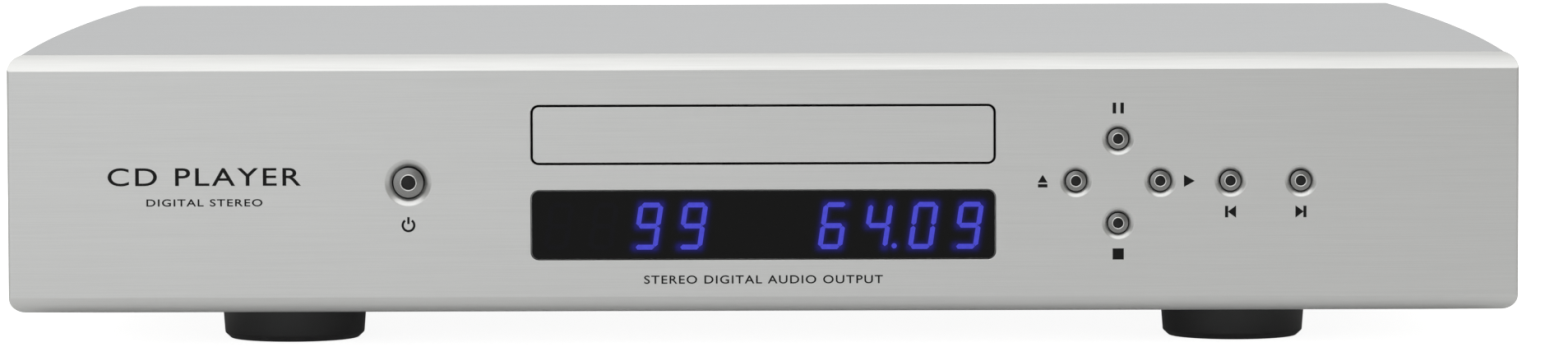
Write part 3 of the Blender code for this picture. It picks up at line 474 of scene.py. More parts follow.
@dataclass(frozen=True)
class Smoked(Finish):
    """Gloss-black window that carries the halo of the lit segments behind it."""

    halo: Colour = (0.008, 0.006, 0.12)
    smear: float = 30 * MM

    def dress(self, graph: Graph) -> None:
        """A vertex attribute holds how strongly each point of the window glows.

        Args:
            graph: the material's graph.
        """
        super().dress(graph)
        glow = graph.node("ShaderNodeAttribute", attribute_name=GLOW)
        graph.set(Emission_Color=graph.tint(glow.outputs["Fac"], BLACK, self.halo))
        graph.set(Emission_Strength=1.0)
        self.wear(graph, graph.noise(graph.place(), 1 / self.smear), low=0.0, high=0.03)


@dataclass(frozen=True)
class Lit(Finish):
    """Glowing display segment with a slightly uneven light."""

    light: Colour = (0.042, 0.043, 0.56)
    mottle: float = 1.4 * MM

    def dress(self, graph: Graph) -> None:
        """Emission with a slight mottle.

        Args:
            graph: the material's graph.
        """
        super().dress(graph)
        mottle = graph.noise(graph.place(), 1 / self.mottle, detail=1.0)
        shades = shade(self.light, 0.8), shade(self.light, 1.2)
        graph.set(Emission_Color=graph.tint(mottle, *shades), Emission_Strength=1.0)


@dataclass(frozen=True)
class Glass(Finish):
    """Coated lens."""

    coat: Colour = (0.25, 0.1, 0.4)
    sweep: float = 3 * MM

    def dress(self, graph: Graph) -> None:
        """Clear body with a coloured coat that shifts across the lens.

        Args:
            graph: the material's graph.
        """
        super().dress(graph)
        tone = graph.noise(graph.place(), 1 / self.sweep, detail=0.0)
        graph.set(Base_Color=graph.tint(tone, self.colour, self.coat))
        graph.set(Coat_Weight=1.0, Coat_Roughness=0.02, IOR=1.5)


SILVER: Colour = (0.66, 0.662, 0.655)
TURNED_GREY: Colour = (0.27, 0.27, 0.265)
SOLDER_MASK: Colour = (0.014, 0.09, 0.035)
COPPER_TAPE: Colour = (0.34, 0.13, 0.05)
BOARD_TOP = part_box("base_plate")[1][2] + 8.4 * MM

PANEL = Brushed("front_brushed", "brushed_aluminium", SILVER, 0.36, 1.0)
COVER = Brushed("cover_brushed", "brushed_aluminium", (0.65, 0.655, 0.665), 0.40, 1.0)
CHEEK = Brushed("cheek_brushed", "brushed_aluminium", SILVER, 0.38, 1.0, along=Axis.Y)
RUBBER = Moulded("foot_rubber", "black_rubber", (0.042, 0.042, 0.043), 0.46)
SOFT_RUBBER = Moulded("soft_rubber", "black_rubber", (0.02, 0.02, 0.02), 0.7)
PLASTIC = Moulded("black_plastic", "black_plastic", (0.013, 0.013, 0.014), 0.38)
TRAY = Moulded("tray_plastic", "tray_plastic", (0.022, 0.022, 0.024), 0.48, depth=0.02 * MM)
ACETAL = Moulded("white_acetal", "white_acetal", (0.72, 0.71, 0.66), 0.42)
WINDOW = Smoked("smoked_window", "smoked_acrylic", (0.004, 0.004, 0.004), 0.12, gloss=0.12)
LIT = Lit("lit_segment", "blue_display", (0.0, 0.0, 0.02), 0.2)
UNLIT = Moulded("unlit_segment", "smoked_acrylic", (0.0045, 0.0045, 0.0065), 0.14, gloss=0.12)
EYE = Moulded("button_eye", "black_plastic", (0.007, 0.007, 0.007), 0.3, gloss=0.3)
RIM = Sheet("button_rim", "brushed_aluminium", (0.86, 0.86, 0.85), 0.14, 1.0)
INK = Moulded(
    "printed_ink", "black_plastic", (0.006, 0.006, 0.006), 0.55, gloss=0.15, grain=0.2 * MM
)
WHITE_INK = Moulded("white_ink", "white_acetal", (0.6, 0.6, 0.6), 0.55, grain=0.2 * MM)
PLATED = Sheet("plated_steel", "plated_steel", (0.50, 0.50, 0.49), 0.40, 1.0)
STEEL = Sheet("bright_steel", "bare_steel", (0.58, 0.58, 0.59), 0.28, 1.0)
DARK_SHEET = Moulded("rear_black", "plated_steel", (0.018, 0.018, 0.019), 0.5, depth=0.02 * MM)
BOARD = Board("circuit_board", "circuit_board", SOLDER_MASK, 0.35)
LOADED_BOARD = Board("loaded_board", "circuit_board", SOLDER_MASK, 0.35, top=BOARD_TOP)
GOLD = Sheet("gold_plate", "gold_plating", (0.80, 0.56, 0.20), 0.2, 1.0)
LENS = Glass("lens_glass", "lens_glass", (0.1, 0.12, 0.35), 0.03)
RED_RING = Moulded("red_insulator", "black_plastic", (0.45, 0.02, 0.02), 0.35)
WHITE_RING = Moulded("white_insulator", "white_acetal", (0.75, 0.75, 0.73), 0.35)
ORANGE_RING = Moulded("orange_insulator", "white_acetal", (0.75, 0.22, 0.02), 0.35)


# ---------------------------------------------------------------- mesh tools


def at_level(point: Point, level: float, axis: Axis) -> Place:
    """Puts a flat point at a level of the axis across its plane.

    Args:
        point: the other two coordinates, in X, Y, Z order.
        level: the coordinate along axis.
        axis: the axis across the plane.

    Returns:
        The place in space.
    """
    place = list(point)
    place.insert(axis.value, level)
    return tuple(place)


def middle_of(node: str) -> Vector:
    """The middle of a node's box at rest."""
    low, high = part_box(node)
    return (Vector(low) + Vector(high)) / 2


def on_axis(node: str, axis: Axis = Axis.Y) -> Place:
    """The middle of a node's box, brought to 0 along an axis.

    Args:
        node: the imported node.
        axis: the axis.

    Returns:
        The place.
    """
    place = list(middle_of(node))
    place[axis.value] = 0.0
    return tuple(place)


def block(low: Sequence[float], high: Sequence[float], into: BMesh | None = None) -> BMesh:
    """A block between two corners.

    Args:
        low: lowest corner.
        high: highest corner.
        into: the mesh to add it to, or None for a new one.

    Returns:
        The mesh.
    """
    bm = bmesh.new() if into is None else into
    low, high = Vector(low), Vector(high)
    matrix = Matrix.Translation((low + high) / 2) @ Matrix.Diagonal((*(high - low), 1.0))
    bmesh.ops.create_cube(bm, size=1.0, matrix=matrix)
    return bm


def loft(bm: BMesh, loops: Sequence[Sequence[Place]]) -> None:
    """Adds a closed shape through successive outlines, with flat ends.

    Args:
        bm: where to add it.
        loops: outlines with the same number of points.
    """
    rings: list[list[BMEdge]] = []
    for loop in loops:
        verts = [bm.verts.new(point) for point in loop]
        pairs = zip(verts, verts[1:] + verts[:1])
        rings.append([bm.edges.new(pair) for pair in pairs])
    for first, second in zip(rings, rings[1:]):
        bmesh.ops.bridge_loops(bm, edges=first + second)
    for ring in (rings[0], rings[-1]):
        bmesh.ops.edgeloop_fill(bm, edges=ring)


def prism(
    outline: Sequence[Point], low: float, high: float, axis: Axis, into: BMesh | None = None
) -> BMesh:
    """An outline extruded along an axis.

    Args:
        outline: flat points.
        low: where it starts.
        high: where it ends.
        axis: the axis across the outline.
        into: the mesh to add it to, or None for a new one.

    Returns:
        The mesh.
    """
    bm = bmesh.new() if into is None else into
    verts = [bm.verts.new(at_level(point, low, axis)) for point in outline]
    grown = bmesh.ops.extrude_face_region(bm, geom=[bm.faces.new(verts)])
    moved = [item for item in grown["geom"] if isinstance(item, BMVert)]
    bmesh.ops.translate(bm, vec=at_level((0.0, 0.0), high - low, axis), verts=moved)
    return bm


def turned(
    profile: Sequence[Point],
    centre: Place,
    axis: Axis = Axis.Y,
    sides: int = 48,
    into: BMesh | None = None,
) -> BMesh:
    """A shape of revolution.

    Args:
        profile: (radius, distance along the axis) points, from axis to axis or a closed ring.
        centre: origin of the profile.
        axis: the axis of revolution.
        sides: number of sides.
        into: the mesh to add it to, or None for a new one.

    Returns:
        The mesh.
    """
    bm = bmesh.new() if into is None else into
    before = set(bm.verts)
    verts = [bm.verts.new((radius, 0.0, along)) for radius, along in profile]
    chain = verts if profile[0][0] == 0.0 else [*verts, verts[0]]
    edges = [bm.edges.new(pair) for pair in zip(chain, chain[1:])]
    bmesh.ops.spin(
        bm,
        geom=[*verts, *edges],
        cent=ORIGIN,
        axis=(0.0, 0.0, 1.0),
        angle=math.tau,
        steps=sides,
        use_merge=True,
    )
    made = [vert for vert in bm.verts if vert not in before]
    bmesh.ops.remove_doubles(bm, verts=made, dist=1e-6)
    made = [vert for vert in bm.verts if vert not in before]
    turn = {
        Axis.X: Matrix.Rotation(QUARTER_TURN, 4, "Y"),
        Axis.Y: Matrix.Rotation(-QUARTER_TURN, 4, "X"),
        Axis.Z: Matrix.Identity(4),
    }[axis]
    bmesh.ops.transform(bm, matrix=Matrix.Translation(centre) @ turn, verts=made)
    return bm


def sleeve(inner: float, outer: float, low: float, high: float) -> list[Point]:
    """Profile of a plain tube, or of a plug where inner is 0."""
    return [(inner, low), (outer, low), (outer, high), (inner, high)]


def bar(x: float, z: float, width: float, height: float) -> list[Point]:
    """Outline of a rectangle about its middle."""
    left, right, low, high = x - width / 2, x + width / 2, z - height / 2, z + height / 2
    return [(left, low), (right, low), (right, high), (left, high)]


def arc(centre: Point, radius: float, start: float, end: float, steps: int) -> list[Point]:
    """Points along a circular arc.

    Args:
        centre: middle of the circle.
        radius: its radius.
        start: first angle in degrees.
        end: last angle in degrees.
        steps: number of steps between them.

    Returns:
        The points, both ends included.
    """
    angles = [math.radians(start + (end - start) * step / steps) for step in range(steps + 1)]
    return [(centre[0] + radius * math.cos(a), centre[1] + radius * math.sin(a)) for a in angles]


def circle(centre: Point, radius: float) -> list[Point]:
    """Outline of a round shape with 24 sides."""
    return arc(centre, radius, 0, 345, 23)


def rounded(size: Point, radius: float, centre: Point, steps: int = 10) -> list[Point]:
    """A rectangle with round corners.

    Args:
        size: its width and height.
        radius: corner radius.
        centre: its middle.
        steps: steps in each corner.

    Returns:
        The outline, anticlockwise.
    """
    points: list[Point] = []
    half_w, half_h = size[0] / 2 - radius, size[1] / 2 - radius
    for quarter, (across, up) in enumerate(((1, 1), (-1, 1), (-1, -1), (1, -1))):
        middle = (centre[0] + across * half_w, centre[1] + up * half_h)
        points += arc(middle, radius, 90 * quarter, 90 * quarter + 90, steps)
    return points


def outline_of(
    node: str, corner: float, grow: float = 0.0, axis: Axis = Axis.Y, steps: int = 10
) -> list[Point]:
    """Round-cornered outline of a node's box, seen along an axis.

    Args:
        node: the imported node.
        corner: corner radius.
        grow: how far the outline stands outside the box.
        axis: the axis across the outline.
        steps: steps in each corner.

    Returns:
        The outline, anticlockwise.
    """
    low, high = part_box(node)
    flat = [which.value for which in Axis if which is not axis]
    size = tuple(high[side] - low[side] + 2 * grow for side in flat)
    middle = tuple((low[side] + high[side]) / 2 for side in flat)
    return rounded(size, corner, middle, steps)


def rounded_profile(profile: Sequence[Point], radius: float, steps: int = 4) -> list[Point]:
    """Rounds the inner corners of an open profile.

    Args:
        profile: corner points.
        radius: the largest rounding.
        steps: steps in each rounding.

    Returns:
        The softened profile.
    """
    points = [tuple(profile[0])]
    for before, corner, after in zip(profile, profile[1:], profile[2:]):
        here = Vector(corner)
        back = Vector(before) - here
        on = Vector(after) - here
        reach = min(radius, back.length * 0.45, on.length * 0.45)
        start = here + back.normalized() * reach
        end = here + on.normalized() * reach
        for step in range(steps + 1):
            t = step / steps
            spot = start * (1 - t) ** 2 + here * 2 * t * (1 - t) + end * t**2
            points.append((spot.x, spot.y))
    points.append(tuple(profile[-1]))
    return points


def soften(bm: BMesh, width: float, segments: int = 3, angle: float = 30.0) -> None:
    """Rounds every edge sharper than an angle.

    Args:
        bm: the mesh.
        width: rounding width.
        segments: steps in the rounding.
        angle: smallest edge angle in degrees.
    """
    limit = math.radians(angle)
    sharp = [edge for edge in bm.edges if edge.calc_face_angle(0.0) > limit]
    bmesh.ops.bevel(
        bm,
        geom=sharp,
        offset=width,
        offset_type="OFFSET",
        segments=segments,
        profile=0.5,
        affect="EDGES",
        material=-1,
        clamp_overlap=True,
    )


def slab(
    outline: Sequence[Point],
    low: float,
    high: float,
    easing: float,
    segments: int = 3,
    axis: Axis = Axis.Y,
) -> BMesh:
    """A new extruded outline with its sharp edges rounded.

    Args:
        outline: flat points.
        low: where it starts.
        high: where it ends.
        easing: rounding width.
        segments: steps in the rounding.
        axis: the axis across the outline.

    Returns:
        The mesh.
    """
    bm = prism(outline, low, high, axis)
    soften(bm, easing, segments)
    return bm


def stand_in(name: str, bm: BMesh) -> Object:
    """A temporary object that holds a copy of a mesh.

    Args:
        name: its name.
        bm: the mesh.

    Returns:
        The object, linked to the scene.
    """
    bmesh.ops.recalc_face_normals(bm, faces=bm.faces)
    mesh = bpy.data.meshes.new(name)
    bm.to_mesh(mesh)
    made = bpy.data.objects.new(name, mesh)
    bpy.context.scene.collection.objects.link(made)
    return made


def combine(bm: BMesh, tool: BMesh, operation: str = "DIFFERENCE") -> None:
    """Cuts the tool out of a mesh, or joins it on, with an exact Boolean.

    Args:
        bm: the mesh to change.
        tool: closed shapes; freed afterwards.
        operation: DIFFERENCE or UNION.
    """
    body = stand_in("work_body", bm)
    cutter = stand_in("work_tool", tool)
    step = body.modifiers.new("cut", "BOOLEAN")
    step.operation = operation
    step.solver = "EXACT"
    step.use_self = True
    step.object = cutter
    graph = bpy.context.evaluated_depsgraph_get()
    result = bpy.data.meshes.new_from_object(body.evaluated_get(graph))
    bm.clear()
    bm.from_mesh(result)
    tool.free()
    bpy.data.meshes.remove(result)
    for spent in (body, cutter):
        mesh = spent.data
        bpy.data.objects.remove(spent)
        bpy.data.meshes.remove(mesh)


def add_piece(
    name: str,
    bm: BMesh,
    finish: Finish,
    body: str = "case",
    replaces: Iterable[str] = (),
    sharp: float = 30.0,
) -> None:
    """Makes a finished piece that rides on a body.

    Args:
        name: the piece's name.
        bm: its mesh; freed afterwards.
        finish: its finish.
        body: the body it moves with.
        replaces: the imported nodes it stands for.
        sharp: edges sharper than this many degrees stay sharp.
    """
    bmesh.ops.recalc_face_normals(bm, faces=bm.faces)
    mesh = bpy.data.meshes.new(name)
    bm.to_mesh(mesh)
    bm.free()
    mesh.materials.append(material_of(finish))
    mesh.shade_smooth()
    mesh.set_sharp_from_angle(angle=math.radians(sharp))
    piece = bpy.data.objects.new(name, mesh)
    bpy.context.scene.collection.objects.link(piece)
    flatten = piece.modifiers.new("flat_faces", "WEIGHTED_NORMAL")
    flatten.mode = "FACE_AREA_WITH_ANGLE"
    flatten.keep_sharp = True
    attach(piece, body)
    nodes = tuple(replaces)
    if nodes:
        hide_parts(*nodes)
    log.info("%s: %d faces on %s", name, len(mesh.polygons), body)


def add_words(
    name: str,
    words: str,
    size: Point,
    thick: float,
    place: Matrix,
    finish: Finish,
    bold: float = 0.0,
) -> None:
    """Prints a line of plain capitals on the case.

    Args:
        name: the piece's name.
        words: what it says.
        size: width of the whole line and height of its capitals.
        thick: thickness of the print.
        place: takes the line from the XY plane, centred on X with its foot at Y 0.
        finish: its ink.
        bold: how far the strokes are widened, in the font's units.
    """
    curve = bpy.data.curves.new("lettering", "FONT")
    curve.body = words
    curve.space_character = 1.15
    curve.offset = bold
    curve.extrude = 0.5
    curve.resolution_u = 6
    text = bpy.data.objects.new("lettering", curve)
    bpy.context.scene.collection.objects.link(text)
    graph = bpy.context.evaluated_depsgraph_get()
    mesh = bpy.data.meshes.new_from_object(text.evaluated_get(graph))
    bm = bmesh.new()
    bm.from_mesh(mesh)
    bpy.data.objects.remove(text)
    bpy.data.curves.remove(curve)
    bpy.data.meshes.remove(mesh)
    bmesh.ops.remove_doubles(bm, verts=bm.verts, dist=1e-5)
    low = [min(vert.co[axis] for vert in bm.verts) for axis in range(3)]
    high = [max(vert.co[axis] for vert in bm.verts) for axis in range(3)]
    shift = Vector((-(low[0] + high[0]) / 2, -low[1], -low[2]))
    bmesh.ops.translate(bm, vec=shift, verts=bm.verts)
    scale = (size[0] / (high[0] - low[0]), size[1] / (high[1] - low[1]), thick)
    bmesh.ops.scale(bm, vec=scale, verts=bm.verts)
    bmesh.ops.transform(bm, matrix=place, verts=bm.verts)
    add_piece(name, bm, finish)


@dataclass(frozen=True)
class Screw:
    """A cross-headed screw; its numbers are in millimetres out from the face it sits on."""

    profile: tuple[Point, ...]
    head: float
    rounding: float = 0.0
    arm: float = 1.7
    slit: float = 0.35
    depth: float = 1.2
    clear: float = 0.5

    def build(self, name: str, seat: Place, axis: Axis = Axis.Y, inward: int = -1) -> None:
        """Turns the screw and cuts its cross.

        Args:
            name: the piece's name.
            seat: where its axis meets the face it sits on.
            axis: the screw's axis.
            inward: the direction along the axis from the head's outer face to its body.
        """
        flat = [seat[which.value] for which in Axis if which is not axis]
        face = seat[axis.value]
        shape = [(radius * MM, face + out * MM) for radius, out in self.profile]
        if self.rounding:
            shape = rounded_profile(shape, self.rounding * MM)
        bm = turned(shape, at_level(flat, 0.0, axis), axis, sides=40)
        spot = Vector(at_level(flat, face + self.head * MM, axis))
        near, far = sorted((-inward * self.clear * MM, inward * self.depth * MM))
        cross = bmesh.new()
        for across, up in ((self.arm, self.slit), (self.slit, self.arm)):
            low = Vector(at_level((-across * MM, -up * MM), near, axis))
            high = Vector(at_level((across * MM, up * MM), far, axis))
            block(low + spot, high + spot, cross)
        combine(bm, cross)
        add_piece(name, bm, STEEL)


FOOT_SCREW = Screw(((0.0, 3.25), (3.6, 3.25), (3.4, 1.7), (0.0, 1.1)), 1.0, 0.3)
REAR_SCREW = Screw(
    ((0.0, -1.0), (1.4, -1.0), (1.4, 0.0), (2.8, 0.02), (2.4, 1.4), (0.0, 1.8)), 1.8, 0.4
)
INLET_SCREW = Screw(((0.0, -2.0), (1.5, -2.0), (1.5, -1.1), (2.6, -0.1), (0.0, 0.1)), 0.1)


# ---------------------------------------------------------------- front panel


def panel_face() -> float:
    """Y of the panel's front face."""
    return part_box("front_panel")[0][1]


@dataclass(frozen=True)
class ButtonShape:
    """Radii of a turned button and of the dish it sits in."""

    cap: float
    hole: float
    dish: float
    eye: float
    rim: float


POWER_SHAPE = ButtonShape(4.25 * MM, 4.7 * MM, 6.8 * MM, 2.05 * MM, 2.4 * MM)
SMALL_SHAPE = ButtonShape(2.85 * MM, 3.2 * MM, 4.7 * MM, 1.45 * MM, 1.75 * MM)
BUTTONS: dict[str, ButtonShape] = {
    "button_power": POWER_SHAPE,
    "button_eject": SMALL_SHAPE,
    "button_play": SMALL_SHAPE,
    "button_pause": SMALL_SHAPE,
    "button_stop": SMALL_SHAPE,
    "button_previous": SMALL_SHAPE,
    "button_next": SMALL_SHAPE,
}


@dataclass(frozen=True)
class LongEdge:
    """How a long front edge is cut back: half its arc in degrees, and the arc's flats."""

    up: int
    spread: float
    facets: int


@dataclass
class FrontPanel:
    """Thick brushed slab, its long front edges cut back at 45 degrees."""

    corner: float = 4.5 * MM
    edge: float = 4.5 * MM
    top_edge: LongEdge = LongEdge(1, 4.0, 4)
    bottom_edge: LongEdge = LongEdge(-1, 24.0, 10)
    rim: float = 0.8 * MM
    easing: float = 0.15 * MM
    slot_gap: float = 0.6 * MM
    slot_corner: float = 2.3 * MM
    window_gap: float = 0.3 * MM
    ledge: float = 1.8 * MM
    ledge_overlap: float = 1.0 * MM
    flare: float = 0.22 * MM
    flare_curve: tuple[Point, ...] = ((0.0, 1.0), (0.3, 0.45), (1.0, 0.0))
    dish_slope: float = 0.74
    dish_bend: float = 1.15
    dish_steps: int = 8
    dish_margin: float = 0.25 * MM
    dish_lip: float = 0.03 * MM

    def build(self) -> None:
        """Builds the slab and cuts its openings."""
        low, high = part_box("front_panel")
        outline = outline_of("front_panel", self.corner, steps=12)
        bm = slab(outline, low[1], high[1], self.rim, segments=4)
        self.shape_edge(bm, low[1], high[2], self.top_edge)
        self.shape_edge(bm, low[1], low[2], self.bottom_edge)
        soften(bm, self.easing, segments=2)
        combine(bm, self.openings(low[1], high[1]))
        combine(bm, self.window_hole(high[1]))
        add_piece("front_panel_brushed", bm, PANEL, replaces=["front_panel"])

    def shape_edge(self, bm: BMesh, front: float, edge: float, cut: LongEdge) -> None:
        """Cuts one long front edge to an arc of tangent facets.

        Args:
            bm: the slab.
            front: Y of the face.
            edge: Z of the edge.
            cut: the arc; a small spread is nearly a flat chamfer.
        """
        half = math.radians(cut.spread)
        radius = self.edge / (math.sqrt(2) * math.sin(half))
        step = 2 * half / cut.facets
        outward = Vector((0.0, -1.0, cut.up)).normalized()
        chord = Vector((0.0, front + self.edge / 2, edge - cut.up * self.edge / 2))
        centre = chord - outward * radius * math.cos(half)
        for facet in range(cut.facets):
            angle = cut.up * ((facet + 0.5) * step - half)
            normal = Matrix.Rotation(angle, 3, "X") @ outward
            sliced = bmesh.ops.bisect_plane(
                bm,
                geom=[*bm.verts, *bm.edges, *bm.faces],
                plane_co=centre + normal * radius * math.cos(step / 2),
                plane_no=normal,
                clear_outer=True,
                dist=1e-8,
            )
            rim = [item for item in sliced["geom_cut"] if isinstance(item, BMEdge)]
            bmesh.ops.edgeloop_fill(bm, edges=rim)

    def openings(self, front: float, back: float) -> BMesh:
        """Cutters for the drawer slot, the window pocket and the button holes.

        Args:
            front: Y of the face.
            back: Y of the panel's back.

        Returns:
            One mesh with every cutter.
        """
        bm = bmesh.new()
        pocket_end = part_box("display_window")[1][1] + self.window_gap
        self.flared(bm, "tray_door", self.slot_gap, front, back + PAST)
        self.flared(bm, "display_window", self.window_gap, front, pocket_end)
        for name, shape in BUTTONS.items():
            turned(self.dish(shape, front, back), on_axis(name), sides=72, into=bm)
        return bm

    def flared(self, bm: BMesh, node: str, gap: float, front: float, end: float) -> None:
        """Adds the cutter for a slot round a node, with an eased front edge.

        Args:
            bm: where to add it.
            node: the piece that fills the slot.
            gap: clearance round it.
            front: Y of the panel's face.
            end: Y where the slot ends.
        """
        flare = [
            (front + deep * self.flare, wide * self.flare) for deep, wide in self.flare_curve
        ]
        loops = []
        for level, extra in ((front - PAST, self.flare), *flare, (end, 0.0)):
            outline = outline_of(node, self.slot_corner + extra, gap + extra)
            loops.append([at_level(point, level, Axis.Y) for point in outline])
        loft(bm, loops)

    def dish(self, shape: ButtonShape, front: float, back: float) -> list[Point]:
        """Profile of a button hole and the shallow dish round it.

        Args:
            shape: the button's radii.
            front: Y of the face.
            back: Y of the panel's back.

        Returns:
            The profile, axis to axis.
        """
        reach = shape.dish - shape.hole
        mouth = shape.dish + self.dish_margin
        curve = []
        for step in range(self.dish_steps + 1):
            t = step / self.dish_steps
            depth = self.dish_slope * reach * t**self.dish_bend
            curve.append((shape.dish - reach * t, front + depth))
        return [
            (0.0, front - PAST),
            (mouth, front - PAST),
            (mouth, front - self.dish_lip),
            *curve,
            (shape.hole, back + PAST),
            (0.0, back + PAST),
        ]

    def window_hole(self, back: float) -> BMesh:
        """Cutter for the smaller hole behind the window, which leaves a ledge round it.

        Args:
            back: Y of the panel's back.

        Returns:
            The cutter.
        """
        low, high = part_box("display_window")
        corner = (low[0] + self.ledge, high[1] - self.ledge_overlap, low[2] + self.ledge)
        return block(corner, (high[0] - self.ledge, back + PAST, high[2] - self.ledge))


@dataclass
class PushButton:
    """A turned cap with a domed ring, a polished lip and a black eye."""

    node: str
    shape: ButtonShape
    setback: float = 0.1 * MM
    dome: float = 0.19
    dome_bend: float = 1.5
    steps: int = 10
    bore: float = 1.1 * MM
    edge: float = 0.35 * MM
    flange_gap: float = 0.3 * MM
    flange: float = 1.2 * MM
    stem: float = 1.5 * MM
    eye_front: Point = (0.42 * MM, 0.55 * MM)
    eye_back: float = 1.05 * MM
    eye_gap: float = 0.03 * MM
    eye_easing: float = 0.1 * MM
    lip: float = 0.05 * MM
    sharp: float = 38.0

    def build(self) -> None:
        """Builds the cap, its eye and its lip."""
        spot = on_axis(self.node)
        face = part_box(self.node)[0][1]
        finish = Turned(
            f"{self.node}_turned", "brushed_aluminium", TURNED_GREY, 0.3, 1.0, centre=spot
        )
        cap = turned(self.cap(face), spot, sides=64)
        add_piece(f"{self.node}_cap", cap, finish, self.node, [self.node], self.sharp)
        radius = self.shape.eye - self.eye_gap
        middle, side = self.eye_front
        corners = (
            (0.0, face + middle),
            (radius, face + side),
            (radius, face + self.eye_back),
            (0.0, face + self.eye_back),
        )
        eye = turned(rounded_profile(corners, self.eye_easing), spot)
        add_piece(f"{self.node}_eye", eye, EYE, self.node)
        width = (self.shape.rim - self.shape.eye) / 2
        bead = (self.shape.eye + width, face + self.setback + self.lip)
        lip = turned(circle(bead, width), spot)
        add_piece(f"{self.node}_rim", lip, RIM, self.node)

    def cap(self, face: float) -> list[Point]:
        """Profile of the cap, its flange and its stem.

        Args:
            face: Y of the cap's foremost point.

        Returns:
            The profile, axis to axis.
        """
        low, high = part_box(self.node)
        shape = self.shape
        wide = (high[0] - low[0]) / 2
        flange_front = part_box("front_panel")[1][1] + self.flange_gap
        flange_back = flange_front + self.flange
        top = face + self.setback
        reach = shape.cap - shape.eye
        ring = []
        for step in range(self.steps + 1):
            t = step / self.steps
            ring.append((shape.eye + reach * t, top + self.dome * reach * t**self.dome_bend))
        return [
            (0.0, face + self.bore),
            (shape.eye, face + self.bore),
            *ring,
            (shape.cap, top + self.dome * reach + self.edge),
            (shape.cap, flange_front),
            (wide, flange_front),
            (wide, flange_back),
            (self.stem, flange_back),
            (self.stem, high[1]),
            (0.0, high[1]),
        ]


# ---------------------------------------------------------------- display


SEGMENTS: dict[str, str] = {
    "9": "abcdfg",
    "6": "acdefg",
    "4": "bcfg",
    "0": "abcdef",
    "8": "abcdefg",
}


